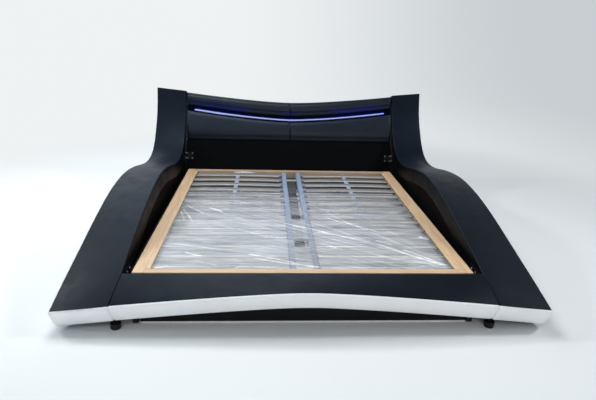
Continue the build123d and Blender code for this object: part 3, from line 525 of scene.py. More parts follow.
def blend(tree, factor, low, high, kind="MIX"):
    """A colour between two, each a colour or a socket."""
    made = node(tree, "ShaderNodeMix", data_type="RGBA", blend_type=kind)
    for place, value in ((0, factor), (6, low), (7, high)):
        feed(tree, value, made.inputs[place])
    return made.outputs[2]


def noise(tree, where, **values):
    """Noise read at the given coordinates."""
    return node(tree, "ShaderNodeTexNoise", Vector=where, **values).outputs["Fac"]


def attribute_value(tree, name):
    """What a piece's points hold under a name."""
    return node(tree, "ShaderNodeAttribute", attribute_name=name).outputs["Fac"]


def axes(tree, vector):
    """The X, Y and Z of a vector."""
    return node(tree, "ShaderNodeSeparateXYZ", Vector=vector).outputs


def object_place(tree):
    """Coordinates in the piece's own frame."""
    return tree.nodes.new("ShaderNodeTexCoord").outputs["Object"]


def object_coordinates(tree, scale=(1.0, 1.0, 1.0), turn=0.0):
    """Coordinates in the piece's own frame, turned about the upright and then stretched."""
    mapping = node(tree, "ShaderNodeMapping", vector_type="POINT", Vector=object_place(tree))
    mapping.inputs["Scale"].default_value = scale
    mapping.inputs["Rotation"].default_value = (0.0, 0.0, turn)
    return mapping.outputs["Vector"]


def leather_grain():
    """Fine pebbles from cells, slow creases from noise, and patches of shade."""
    values = {"Cell": 620.0, "Crease": 9.0}
    tree, given, out = new_group("Leather grain", values, ("Grain", "Creases", "Shade"))
    place, cell = object_coordinates(tree), given["Cell"]
    cells = node(tree, "ShaderNodeTexVoronoi", feature="SMOOTH_F1", Vector=place, Scale=cell)
    fine = noise(tree, place, Scale=arithmetic(tree, "MULTIPLY", cell, 0.4), Detail=3.0)
    creases = noise(tree, place, Scale=given["Crease"], Detail=4.0, Roughness=0.62, Distortion=0.6)
    patches = noise(tree, place, Scale=3.1, Detail=5.0, Roughness=0.6)
    feed(tree, arithmetic(tree, "ADD", cells.outputs["Distance"], fine), out["Grain"])
    feed(tree, creases, out["Creases"])
    feed(tree, ranged(tree, patches, 0.3, 0.72, 0, 1), out["Shade"])
    return tree


def wood_grain():
    """Long fibres: noise and bands stretched along the board."""
    tree, given, out = new_group("Wood grain", {"Stretch": (60.0, 3.0, 60.0)}, ("Figure", "Fibre"))
    scaled = node(tree, "ShaderNodeVectorMath", operation="MULTIPLY")
    feed(tree, object_place(tree), scaled.inputs[0])
    feed(tree, given["Stretch"], scaled.inputs[1])
    bands = noise(tree, scaled.outputs[0], Scale=1.0, Detail=6.0, Roughness=0.6, Distortion=1.2)
    fibre = noise(tree, scaled.outputs[0], Scale=7.0, Detail=3.0, Roughness=0.5)
    feed(tree, ranged(tree, bands, 0.35, 0.7, 0, 1), out["Figure"])
    feed(tree, fibre, out["Fibre"])
    return tree


def surface_wear():
    """Slow smudges and fine specks for painted, moulded and metal finishes."""
    tree, given, out = new_group("Surface wear", {"Speck": 900.0}, ("Smudge", "Specks"))
    place = object_coordinates(tree)
    smudge = noise(tree, place, Scale=14.0, Detail=5.0, Roughness=0.65)
    specks = noise(tree, place, Scale=given["Speck"], Detail=2.0)
    feed(tree, ranged(tree, smudge, 0.3, 0.75, 0, 1), out["Smudge"])
    feed(tree, specks, out["Specks"])
    return tree


def woven():
    """Warp and weft: two waves of sines, crossed."""
    tree, given, out = new_group("Weave", {"Thread": 900.0}, ("Height",))
    place = axes(tree, object_place(tree))
    sides = [
        arithmetic(tree, "SINE", arithmetic(tree, "MULTIPLY", place[axis], given["Thread"])) for axis in ("X", "Y")
    ]
    feed(tree, arithmetic(tree, "MULTIPLY", *sides), out["Height"])
    return tree


GROUPS = {}
FINISH = {}


def place_group(tree, key, **values):
    """One of the shared groups, placed in a material with its own values."""
    builders = {"leather": leather_grain, "wood": wood_grain, "wear": surface_wear, "weave": woven}
    if key not in GROUPS:
        GROUPS[key] = builders[key]()
    placed = tree.nodes.new("ShaderNodeGroup")
    placed.node_tree = GROUPS[key]
    for label, value in values.items():
        placed.inputs[label].default_value = value
    return placed.outputs


def new_material(name, **values):
    """A material with one Principled shader, its constants set on its own sockets, kept under its name."""
    material = FINISH[name] = bpy.data.materials.new(name)
    material.use_nodes = True
    tree = material.node_tree
    shader = tree.nodes["Principled BSDF"]
    for key, value in values.items():
        shader.inputs[key.replace("_", " ")].default_value = value
    return tree, shader


def bumped(tree, shader, *heights):
    """Bump nodes in a row, each (height, strength, distance)."""
    normal = None
    for height, strength, distance in heights:
        bump = node(tree, "ShaderNodeBump", Strength=strength, Distance=distance, Height=height)
        if normal is not None:
            feed(tree, normal, bump.inputs["Normal"])
        normal = bump.outputs["Normal"]
    feed(tree, normal, shader.inputs["Normal"])


def dimmed(colour, share):
    """A colour times a share."""
    return tuple(c * share for c in colour)


def leather_material(name, dark, light, rough=(0.42, 0.52), grain=0.12, crease=0.25, gloss=0.12, tint=(1, 1, 1)):
    """Grained leather: pebbles, slow creases and patches, and painted shade that darkens the colour where the shade
    attribute is set.
    """
    tree, shader = new_material(name, Specular_IOR_Level=gloss, Specular_Tint=(*tint, 1))
    given = place_group(tree, "leather")
    tone = blend(tree, given["Shade"], dark, light)
    # Painted shade: the colour is multiplied down where the piece's shade attribute is set
    tone = blend(tree, attribute_value(tree, "shade"), tone, (0.16, 0.15, 0.14), "MULTIPLY")
    feed(tree, tone, shader.inputs["Base Color"])
    feed(tree, ranged(tree, given["Creases"], 0.3, 0.7, *rough), shader.inputs["Roughness"])
    bumped(tree, shader, (given["Creases"], crease, 0.004), (given["Grain"], grain, 0.0004))


def wood_material(name, dark, light, stretch, rough=0.5):
    """Planed wood with its grain along one axis."""
    tree, shader = new_material(name)
    given = place_group(tree, "wood", Stretch=stretch)
    feed(tree, blend(tree, given["Figure"], dark, light), shader.inputs["Base Color"])
    feed(tree, ranged(tree, given["Fibre"], 0.3, 0.7, rough - 0.08, rough + 0.1), shader.inputs["Roughness"])
    bumped(tree, shader, (given["Fibre"], 0.15, 0.0004))


def pale_edges(material, edge):
    """Lets the narrow faces that look along the bed show a paler, uncoated wood."""
    tree = material.node_tree
    colour_in = tree.nodes["Principled BSDF"].inputs["Base Color"]
    face = tree.nodes.new("ShaderNodeNewGeometry")
    along = axes(tree, face.outputs["Normal"])["Y"]
    steep = ranged(tree, arithmetic(tree, "ABSOLUTE", along), 0.4, 0.7, 0.0, 1.0)
    feed(tree, blend(tree, steep, colour_in.links[0].from_socket, edge), colour_in)


def hard_material(name, colour, rough, metal=0.0, speck=900.0, bump=0.06, gloss=0.5):
    """Painted, moulded or plated finish with smudges and specks."""
    tree, shader = new_material(name, Metallic=metal, Specular_IOR_Level=gloss)
    given = place_group(tree, "wear", Speck=speck)
    light = tuple(min(1.0, c * 1.25 + 0.001) for c in colour)
    feed(tree, blend(tree, given["Smudge"], colour, light), shader.inputs["Base Color"])
    feed(tree, ranged(tree, given["Smudge"], 0.0, 1.0, rough, rough + 0.12), shader.inputs["Roughness"])
    bumped(tree, shader, (given["Specks"], bump, 0.0003))


def cloth_material(name, colour, thread=900.0, gloss=0.3):
    """Woven cloth with threads and patches."""
    tree, shader = new_material(name, Roughness=0.85, Specular_IOR_Level=gloss)
    light = tuple(min(1.0, c * 1.4) for c in colour)
    wear = place_group(tree, "wear")
    feed(tree, blend(tree, wear["Smudge"], colour, light), shader.inputs["Base Color"])
    bumped(tree, shader, (place_group(tree, "weave", Thread=thread)["Height"], 0.3, 0.0004))


def light_material(core, glow, strength):
    """The lit lens: a pale core between blue flanks to the camera, and a strong blue on what it lights."""
    tree, shader = new_material("lit_diffuser", Base_Color=(0.01, 0.03, 0.12, 1), Roughness=0.35)
    seen = blend(tree, attribute_value(tree, "core"), (0.002, 0.01, 0.42), core)
    camera = tree.nodes.new("ShaderNodeLightPath").outputs["Is Camera Ray"]
    feed(tree, blend(tree, camera, glow, seen), shader.inputs["Emission Color"])
    feed(tree, ranged(tree, camera, 0.0, 1.0, strength, 1.0), shader.inputs["Emission Strength"])


def film_material(haze_colour, painted_highlight_colour):
    """Clear film: haze that is thick near the foot, pale lines of painted highlight where it is drawn over the slats'
    front edges, white folds whose whiteness is a painted highlight, and painted shade along its side edges.
    """
    tree, shader = new_material("wrapping_film", Roughness=0.3, Specular_IOR_Level=0.3)
    where = object_place(tree)
    split = axes(tree, where)
    wrinkle_highlight = attribute_value(tree, "wrinkle_highlight")
    times = partial(arithmetic, tree, "MULTIPLY")
    minus = partial(arithmetic, tree, "SUBTRACT")

    # Painted highlights: pale lines in the slat edges' colour on the film over each slat's front edge, where the slat
    # attribute is set
    bays = arithmetic(tree, "DIVIDE", minus(split["Y"], FIRST_LINE - SLAT_PITCH / 2), SLAT_PITCH)
    away = arithmetic(tree, "ABSOLUTE", minus(arithmetic(tree, "FRACT", bays), 0.5))
    line = times(ranged(tree, away, 0.02, 0.05, 1.0, 0.0), attribute_value(tree, "slat"))
    base = blend(tree, line, haze_colour, painted_highlight_colour)
    # Painted highlight: the film's colour is whitened along its folds, standing in for their sheen; the folds also make
    # the film less clear below
    base = blend(tree, ranged(tree, wrinkle_highlight, 0.05, 0.75, 0.0, 1.0), base, (0.93, 0.95, 0.97))

    slanted = object_coordinates(tree, (0.3, 1.6, 1.0), radians(28))
    crumple = noise(tree, slanted, Scale=11.0, Detail=6.0, Roughness=0.68, Distortion=0.5)
    slanted = object_coordinates(tree, (0.12, 1.9, 1.0), radians(31))
    hatch = noise(tree, slanted, Scale=38.0, Detail=3.0, Roughness=0.6, Distortion=0.3)
    tone = times(ranged(tree, crumple, 0.3, 0.7, 0.7, 1.18), ranged(tree, hatch, 0.36, 0.64, 0.84, 1.18))
    # Painted shade: the film's colour darkens along both side edges next to the rails, more on the right
    for near, far, at_near, at_far in (
        (FILM_HALF_WIDTH - 0.045, FILM_HALF_WIDTH - 0.004, 1.0, 0.45),
        (0.004 - FILM_HALF_WIDTH, 0.03 - FILM_HALF_WIDTH, 0.6, 1.0),
    ):
        tone = times(tone, ranged(tree, split["X"], near, far, at_near, at_far))
    feed(tree, blend(tree, 1.0, base, tone, "MULTIPLY"), shader.inputs["Base Color"])

    patches = noise(tree, where, Scale=3.2, Detail=5.0, Roughness=0.62)
    clear = minus(1.0, times(attribute_value(tree, "veil"), ranged(tree, patches, 0.3, 0.7, 0.88, 1.08)))
    clear = times(times(clear, minus(1.0, times(line, 0.5))), minus(1.0, times(wrinkle_highlight, 0.85)))
    feed(tree, minus(1.0, clear), shader.inputs["Alpha"])
    slanted = object_coordinates(tree, (0.35, 1.4, 1.0), radians(35))
    bumped(tree, shader, (noise(tree, slanted, Scale=26.0, Detail=4.0, Roughness=0.6, Distortion=0.8), 0.5, 0.004))


# Painted, moulded and metal finishes: a colour, a roughness and what else differs
HARD_FINISHES = {
    "black_board": ((0.003, 0.0036, 0.0045), 0.5, {"gloss": 0.15}),
    "pale_strip": ((0.62, 0.6, 0.56), 0.5, {}),
    "black_plastic": ((0.006, 0.006, 0.007), 0.42, {"gloss": 0.3}),
    "grey_plastic": ((0.16, 0.175, 0.2), 0.45, {"gloss": 0.3}),
    "aluminium": ((0.62, 0.63, 0.65), 0.3, {"metal": 1.0}),
    "circuit": ((0.7, 0.72, 0.75), 0.5, {}),
    "black_steel": ((0.012, 0.012, 0.013), 0.45, {"bump": 0.12}),
    "bolt_steel": ((0.2, 0.2, 0.205), 0.5, {"metal": 1.0, "speck": 400.0}),
    "zinc": ((0.55, 0.55, 0.53), 0.32, {"metal": 1.0, "speck": 400.0}),
    "plate_steel": ((0.1, 0.098, 0.125), 0.45, {"gloss": 0.3}),
    "bracket_steel": ((0.006, 0.006, 0.0065), 0.55, {"bump": 0.1, "gloss": 0.1}),
}
ALONG_GRAIN, ACROSS_GRAIN = (70.0, 3.0, 70.0), (3.0, 70.0, 70.0)


def make_finishes():
    """All materials, by a maker's plain names."""
    colours = bpy.context.scene.bed_colours
    black, worn, white = tuple(colours.leather), tuple(colours.leather_light), tuple(colours.white)
    birch, dark, slat = tuple(colours.birch), tuple(colours.birch_dark), tuple(colours.slat)
    inner = (0.003, 0.0026, 0.0026), (0.0044, 0.0038, 0.0038)
    panel = (0.0016, 0.002, 0.0028), (0.0026, 0.003, 0.004)
    cool = (0.68, 0.84, 1.0)
    leather_material("black_leather", black, worn, tint=cool)
    leather_material("headboard_leather", black, worn, gloss=0.36, tint=cool)
    leather_material("inner_leather", *inner, rough=(0.62, 0.72), gloss=0.02)
    leather_material("white_leather", dimmed(white, 0.95), white, rough=(0.38, 0.5), grain=0.08, crease=0.3, gloss=0.4)
    leather_material("black_panel", *panel, rough=(0.6, 0.7), gloss=0.04)
    for name, (tone, rough, more) in HARD_FINISHES.items():
        hard_material(name, tone, rough, **more)
    hard_material("middle_rail", tuple(colours.steel), 0.35)
    cloth_material("dark_cloth", (0.006, 0.0065, 0.008))
    cloth_material("groove_cloth", (0.0006, 0.0012, 0.006), gloss=0.02)
    cloth_material("webbing", tuple(colours.webbing), thread=1600.0)
    wood_material("plywood", (0.36, 0.22, 0.11), (0.58, 0.4, 0.22), (30.0, 3.0, 30.0))
    wood_material("birch_long", dark, birch, ALONG_GRAIN)
    # Painted shade: the head rail's birch is the same wood dimmed to 0.62 for the shade it lies in
    wood_material("birch_head_painted_shade", dimmed(dark, 0.62), dimmed(birch, 0.62), ACROSS_GRAIN)
    wood_material("birch_cross", dark, birch, ACROSS_GRAIN)
    wood_material("slat_wood", dimmed(slat, 0.8), slat, (3.0, 60.0, 90.0), rough=0.42)
    pale_edges(FINISH["slat_wood"], tuple(colours.slat_edge_and_highlight))
    light_material(tuple(colours.light_core), tuple(colours.light_glow), bpy.context.scene.bed_lamps.strip)
    # The film's painted highlights over the slat edges take the slat edges' colour
    film_material(tuple(colours.film), tuple(colours.slat_edge_and_highlight))


# The finish of every solid that stays in view
NODES_OF_FINISH = {
    "plywood": ("foot_board", "foot_deck", "headboard_panel", "headboard_posts", "headboard_packers",
                "side_deck_right", "side_deck_left"),
    "black_board": ("foot_plinth", "side_plinths", "side_ledgers", "side_ribs", "side_board_right", "side_board_left"),
    "pale_strip": ("plinth_strip",),
    "black_plastic": ("plinth_feet", "side_feet", "headboard_feet", "light_driver"),
    "black_panel": ("headboard_lower_panel",),
    "groove_cloth": ("headboard_groove_back",),
    "dark_cloth": ("headboard_back_cover", "side_undersides"),
    "aluminium": ("light_channel",),
    "circuit": ("light_strip",),
    "black_steel": ("head_crossbar", "centre_beam", "centre_legs"),
    "birch_cross": ("base_foot_rail",),
    # The head rail's birch with painted shade
    "birch_head_painted_shade": ("base_head_rail",),
    "birch_long": ("base_side_rails",),
    "plate_steel": ("base_cross_plates",),
    "slat_wood": ("base_head_batten", "base_slats_right", "base_slats_left"),
    "zinc": ("base_screws", "foot_bolts"),
    "inner_leather": ("side_liners",),
    "bracket_steel": ("head_brackets", "foot_brackets"),
    "bolt_steel": ("head_bolts",),
    "middle_rail": ("base_centre_rails",),
    "webbing": ("base_straps",),
    "grey_plastic": ("base_holders_right", "base_holders_left"),
}


def dress_solids():
    """Gives every solid that stays its finish."""
    for finish, names in NODES_OF_FINISH.items():
        for solid in (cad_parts[name] for name in names):
            if not solid.material_slots:
                solid.data.materials.append(FINISH[finish])
            for place in solid.material_slots:
                place.link = "OBJECT"
                place.material = FINISH[finish]


# The side rails


def make_side_pads():
    """The padded rail: rounded corners, a crowned top and a notch for its board, carried along the wave, with painted
    shade on its inner faces.
    """
    sizes = bpy.context.scene.bed_sizes
    wave = Wave(RAIL_ROWS)
    edge = EDGING_THICKNESS + COVER_GAP
    up = -wave.down * sizes.ribbon_crown
    corners = [
        corner_at(wave.at_inner(0, RIBBON_THICKNESS)),
        corner_at(wave.at_inner(0, 0), sizes.edge_radius, up, 0.7),
        corner_at(wave.at_outer(edge, 0), RAIL_OUTER_ROUND),
        corner_at(wave.at_outer(edge, FOAM_BOTTOM)),
        corner_at(wave.at_inner(BOARD_SIDE, FOAM_BOTTOM)),
        corner_at(wave.at_inner(BOARD_SIDE, BOARD_DEPTH)),
        corner_at(wave.at_inner(BOARD_GAP, BOARD_DEPTH)),
        corner_at(wave.at_inner(BOARD_GAP, RIBBON_THICKNESS)),
    ]
    rows = outline(corners, steps=7, bays=18)
    top = half_sine(rows.shape[1], 4)
    # Painted shade on the inner faces that look into the bed, kept in the shade attribute and fading out into the upper
    # edge's rounding
    inside = np.zeros(rows.shape[1])
    inside[[0, 1, 2, 3, -1]] = 1.0, 1.0, 0.8, 0.4, 1.0
    for side, place in both_sides(rows):
        lift = slow_waves(place, sizes.unevenness, 5) * top
        shaped = place - wave.down[:, None] * lift[..., None]
        piece = skin("side_pad_" + side, shaped, flip=side == "right")
        set_attribute(piece, "shade", np.tile(inside, len(shaped)))
        covered = ("side_cover_" + side, "side_foam_" + side)
        finish_piece(piece, FINISH["black_leather"], nodes=covered)


def make_side_bands():
    """The white edge: a thin crowned strip with rounded edges over the whole outer side."""
    wave = Wave(EDGING_ROWS)
    out = wave.across * EDGING_CROWN
    corners = [
        corner_at(wave.at_outer(EDGING_THICKNESS, COVER_GAP)),
        corner_at(wave.at_outer(0, COVER_GAP), EDGING_ROUND, out, 0.6),
        corner_at(wave.at_outer(0, RIBBON_THICKNESS), EDGING_ROUND),
        corner_at(wave.at_outer(EDGING_THICKNESS, RIBBON_THICKNESS)),
    ]
    rows = outline(corners, steps=5, bays=8)
    for side, place in both_sides(rows):
        piece = skin("side_edge_" + side, place, flip=side == "right")
        finish_piece(piece, FINISH["white_leather"], nodes=("side_edging_" + side,))


def pad_rings(thickness, radius, crown, reach):
    """Insets and rises of a padded end: straight, then a quarter circle, then a slow crown."""
    turn = np.linspace(0, np.pi / 2, 7)
    far = np.linspace(radius, reach, 9)[1:]
    inset = np.concatenate(([0.0], radius * (1 - np.cos(turn)), far))
    rise = np.concatenate((
        [SEAT_GAP],
        thickness - radius + radius * np.sin(turn),
        thickness + crown * np.sin(np.pi / 2 * (far - radius) / (reach - radius)),
    ))
    return inset, rise


def end_pad_rows(wave, at, way, thickness, radius, crown, low_radius=0.012, seam_slant=0.0):
    """Rings of a padded end over one cross-section, each drawn in by its inset and raised by its rise."""
    inset, rise = pad_rings(thickness, radius, crown, PAD_REACH)
    inset, rise = inset[:, None], rise[:, None]
    inner, outer = wave.inner[at], wave.outer[at]
    down, across = wave.down[at], wave.across[at]
    spread, tuck = wave.spread[at], wave.tuck[at]
    out = way * rise

    def inner_at(t):
        return inner + across * (inset + spread * (1 - t / RIBBON_THICKNESS * seam_slant)) + down * t + out

    def outer_at(t):
        return outer - across * (inset + tuck * t / RIBBON_THICKNESS) + down * t + out

    corners = [
        corner_at(inner_at(inset), PAD_CORNER_ROUND),
        corner_at(outer_at(inset), PAD_CORNER_ROUND),
        corner_at(outer_at(RIBBON_THICKNESS - inset), np.maximum(low_radius - inset, PAD_CORNER_ROUND)),
        corner_at(inner_at(RIBBON_THICKNESS - inset), PAD_CORNER_ROUND),
    ]
    return outline(corners, steps=6)


def make_side_noses():
    """White padded fronts of the side rails and black padded tops of the wings."""
    sizes = bpy.context.scene.bed_sizes
    wave = Wave(RAIL_ROWS)
    ahead = -wave.run[0]
    nose = end_pad_rows(wave, 0, ahead, NOSE_PAD, NOSE_ROUND, sizes.band_bulge, NOSE_LOW_ROUND, NOSE_SEAM_SLANT)
    cap = end_pad_rows(wave, -1, wave.run[-1], CAP_THICKNESS, CAP_ROUND, CAP_CROWN)
    jobs = (
        ("side_nose", nose, "white_leather", "side_noses", True),
        ("wing_top", cap, "black_leather", "wing_caps", False),
    )
    for name, rows, finish, node_name, turned in jobs:
        for side, place in both_sides(rows):
            piece = skin(name + "_" + side, place, flip=turned != (side == "right"))
            finish_piece(piece, FINISH[finish], nodes=(node_name,))


# The foot


def foot_frame():
    """Direction down the foot's sloping front, and out of it, from the rail's first section."""
    wave = Wave(RAIL_ROWS)
    return wave.down[0], -wave.run[0]


def make_foot_pad():
    """Leather over the foot: from the rear edge down to the arched front, then under it and round its board."""
    sizes = bpy.context.scene.bed_sizes
    down = foot_frame()[0]
    x = np.linspace(-FOOT_END, FOOT_END, CROSS_ROWS)

    def at(y, z):
        return places(x, y - MIDDLE_Y, z)

    top = at(WAVE_START, arch(x))
    top[:, 0] *= 1 + (SEAM_SPREAD - FOOT_SIDE_GAP) / FOOT_END
    low = top + down * FOAM_BOTTOM
    lift = np.tile([0, 0, sizes.ribbon_crown * FOOT_CROWN_SHARE], (len(x), 1))
    corners = [
        corner_at(at(FOOT_REAR, FOOT_REAR_TOP - FOOT_RETURN)),
        corner_at(at(FOOT_REAR, FOOT_REAR_TOP), FOOT_REAR_ROUND, lift, 0.7),
        corner_at(top, FOOT_FRONT_ROUND),
        corner_at(low),
        corner_at(at(FOOT_BOARD_FRONT, low[:, 2])),
        corner_at(at(FOOT_BOARD_FRONT, FOOT_BOARD_TOP)),
        corner_at(at(FOOT_REAR - BOARD_GAP, FOOT_BOARD_TOP)),
        corner_at(at(FOOT_REAR - BOARD_GAP, FOOT_REAR_TOP - FOOT_RETURN)),
    ]
    rows = outline(corners, steps=7, bays=16)
    rows[..., 2] += slow_waves(rows, sizes.unevenness, 11) * half_sine(rows.shape[1], 3)
    piece = skin("foot_pad", rows)
    finish_piece(piece, FINISH["black_leather"], nodes=("foot_cover", "foot_foam"))


def make_foot_band():
    """The white band: a crowned front between two rounded edges, following the arch."""
    sizes = bpy.context.scene.bed_sizes
    down, out = foot_frame()
    x = np.linspace(-FOOT_END, FOOT_END, CROSS_ROWS)
    end = np.exp(-(FOOT_END - np.abs(x)) / BAND_END_DRAW)[:, None] * BAND_END_DRAW
    top = places(x * (1 + SEAM_SPREAD / FOOT_END), WAVE_START - MIDDLE_Y, arch(x))
    narrower = (FOOT_END + SEAM_SPREAD * BAND_LOW_SPREAD) / (FOOT_END + SEAM_SPREAD)
    foot = top * np.array([narrower, 1, 1]) + down * RIBBON_THICKNESS
    front = out * (NOSE_PAD - end)
    corners = [
        corner_at(top + out * SEAT_GAP),
        corner_at(top + front, BAND_ROUND, np.tile(out * sizes.band_bulge, (len(x), 1)), 0.6),
        corner_at(foot + front, BAND_ROUND),
        corner_at(foot + out * SEAT_GAP),
    ]
    piece = skin("foot_band_pad", outline(corners, steps=7, bays=12))
    finish_piece(piece, FINISH["white_leather"], nodes=("foot_band",))


# The headboard


def smile(x, middle, rise, reach):
    """A line that rises from its middle with a power of the distance, which is rounded off near the middle."""
    return middle + rise * (rounded(x, SMILE_ROUND) / rounded(reach, SMILE_ROUND)) ** SMILE_POWER


def on_head(x, v, d):
    """Points given in the headboard's own leaning plane: v up the face, d towards the foot."""
    y = HEAD_Y - MIDDLE_Y + v * np.sin(HEAD_LEAN) - d * np.cos(HEAD_LEAN)
    return places(x, y, BASE_TOP + v * np.cos(HEAD_LEAN) + d * np.sin(HEAD_LEAN))


def cushion_places():
    """Places across the headboard, closest at the seam and at both ends."""
    near = np.linspace(0, CUSHION_FINE_REACH, 13)
    wide = np.linspace(CUSHION_FINE_REACH, HEAD_END - CUSHION_FINE_REACH, 60)[1:-1]
    end = np.linspace(HEAD_END - CUSHION_FINE_REACH, HEAD_END, 13)
    half = np.concatenate((near, wide, end))
    return np.concatenate((-half[:0:-1], half))


def make_cushion(name, low, high, top_back, seed, node_name, roll):
    """A headboard cushion: crowned between rounded edges, leaning back at its foot with the square of the height left,
    and drawn in at its seam and ends as a falling power of e."""
    sizes = bpy.context.scene.bed_sizes
    x = cushion_places()
    seam = sizes.seam_depth * sum(share * np.exp(-np.abs(x) / reach) for share, reach in SEAM_PARTS)
    ends = CUSHION_END_DRAW * np.exp(-(HEAD_END - np.abs(x)) / CUSHION_END_REACH)
    crown = sizes.cushion_crown
    face = -(seam + ends) - crown
    normal = on_head(0, 0, 1) - on_head(0, 0, 0)
    lift = np.tile(normal * crown, (len(x), 1))
    lo, hi = low(x), high(x)
    closed = top_back < CUSHION_BACK
    corners = [
        corner_at(on_head(x, lo, CUSHION_BACK)),
        corner_at(on_head(x, lo, face), roll, lift, 0.5),
        corner_at(on_head(x, hi, face), CUSHION_TOP_ROUND if closed else GROOVE_ROUND),
        corner_at(on_head(x, hi, top_back), CUSHION_BACK_ROUND if closed else 0),
    ]
    if closed:
        corners.append(corner_at(on_head(x, hi - TOP_RETURN, top_back)))
        corners.append(corner_at(on_head(x, hi - TOP_RETURN, CUSHION_BACK)))
    rows = outline(corners, steps=9, bays=22)
    away = (rows - on_head(0, 0, CUSHION_BACK)) @ normal
    soft = np.clip(away / CUSHION_SOFT_DEPTH, 0, 1)
    height = (rows - on_head(0, 0, 0)) @ (on_head(0, 1, 0) - on_head(0, 0, 0))
    lean = UNDER_LEAN * np.clip(1 - (height - lo[:, None]) / UNDER_REACH, 0, 1) ** 2
    rows = rows + normal * ((slow_waves(rows, sizes.unevenness * CUSHION_UNEVENNESS, seed) - lean) * soft)[..., None]
    piece = skin(name, rows)
    finish_piece(piece, FINISH["headboard_leather"], nodes=(node_name,))


def make_headboard():
    """Both cushions of the headboard, above and below the groove."""
    def groove_low(x):
        return smile(x, LIGHT_MIDDLE, LIGHT_RISE, LIGHT_REACH) - CHANNEL_HALF

    def groove_high(x):
        return groove_low(x) + GROOVE_HEIGHT

    def bottom(x):
        return np.full_like(x, CUSHION_BOTTOM)

    def top(x):
        return smile(x, TOP_MIDDLE, TOP_RISE, TOP_REACH)

    make_cushion("headboard_cushion_low", bottom, groove_low, CUSHION_BACK, 21, "headboard_lower_cushion", LOW_ROLL)
    make_cushion("headboard_cushion_high", groove_high, top, HEAD_BACK, 22, "headboard_upper_cushion", HIGH_ROLL)


def make_light_lens():
    """The light's lens: a dome over its channel, with a lip that runs back over the channel's upper wall."""
    x = np.linspace(-LIGHT_REACH, LIGHT_REACH, CROSS_ROWS)
    middle = smile(x, LIGHT_MIDDLE, LIGHT_RISE, LIGHT_REACH) + CHANNEL_HALF + SEAT_GAP
    # Millimetres up the face and out of it
    profile = np.array([
        (-6.1, -10.8), (-6.1, -8.0), (-5.2, -6.6), (-3.4, -5.7), (-1.7, -5.3), (0.0, -5.1), (1.7, -5.3), (3.4, -5.7),
        (5.2, -6.3), (7.4, -6.9), (8.7, -7.4), (9.0, -8.4), (9.0, -21.4), (8.3, -21.4), (8.3, -7.8), (6.1, -7.8),
        (6.1, -10.8),
    ]) / 1000
    core = np.array([0, 0, 0, 0.08, 0.6, 1, 0.6, 0.08, 0, 0, 0, 0, 0, 0, 0, 0, 0])
    rows = on_head(x[:, None], middle[:, None] + profile[:, 0], profile[:, 1])
    piece = skin("light_lens", rows, sharp=60)
    set_attribute(piece, "core", np.tile(core, len(x)))
    finish_piece(piece, FINISH["lit_diffuser"], nodes=("light_diffuser",))


# The film over the slats


def fan(gx, gy, anchor, angles, reaches, width, rng):
    """Faint wrinkles that run out from an anchor: a bell across each ray that fades in and out along it."""
    total = np.zeros_like(gx)
    for angle in radians(1) * rng.uniform(*angles):
        near, far = np.sort(rng.uniform(*reaches, 2))
        far = max(far, near + 0.12)
        bend = rng.normal(0, 0.05)
        along = (gx - anchor[0]) * np.cos(angle) + (gy - anchor[1]) * np.sin(angle)
        beside = -(gx - anchor[0]) * np.sin(angle) + (gy - anchor[1]) * np.cos(angle) + bend * along ** 2
        wide = width * rng.uniform(0.5, 1.3)
        inside = 1 / (1 + np.exp(-(along - near) / 0.03)) / (1 + np.exp((along - far) / 0.05))
        total = np.maximum(total, rng.uniform(0.35, 1.0) * inside * np.exp(-(beside / wide) ** 2))
    return total


def folds(gx, gy, lines, rng):
    """Wrinkles between two places each: a bell across the line, pinched at both ends, with a slow wander."""
    total = np.zeros_like(gx)
    for x0, y0, x1, y1, width, weight in lines:
        run = np.array([x1 - x0, y1 - y0])
        length = np.linalg.norm(run)
        way = run / length
        along = ((gx - x0) * way[0] + (gy - y0) * way[1]) / length
        wander = 0.004 * np.sin(along * length * 14 + rng.uniform(0, 6)) * np.clip(along * (1 - along) * 4, 0, 1)
        beside = (gy - y0) * way[0] - (gx - x0) * way[1] + wander
        inside = np.clip(along / 0.12, 0, 1) * np.clip((1 - along) / 0.12, 0, 1)
        uneven = 0.8 + 0.2 * np.sin(along * length * 37 + rng.uniform(0, 6))
        total = np.maximum(total, weight * inside * uneven * np.exp(-(beside / width) ** 2))
    return total


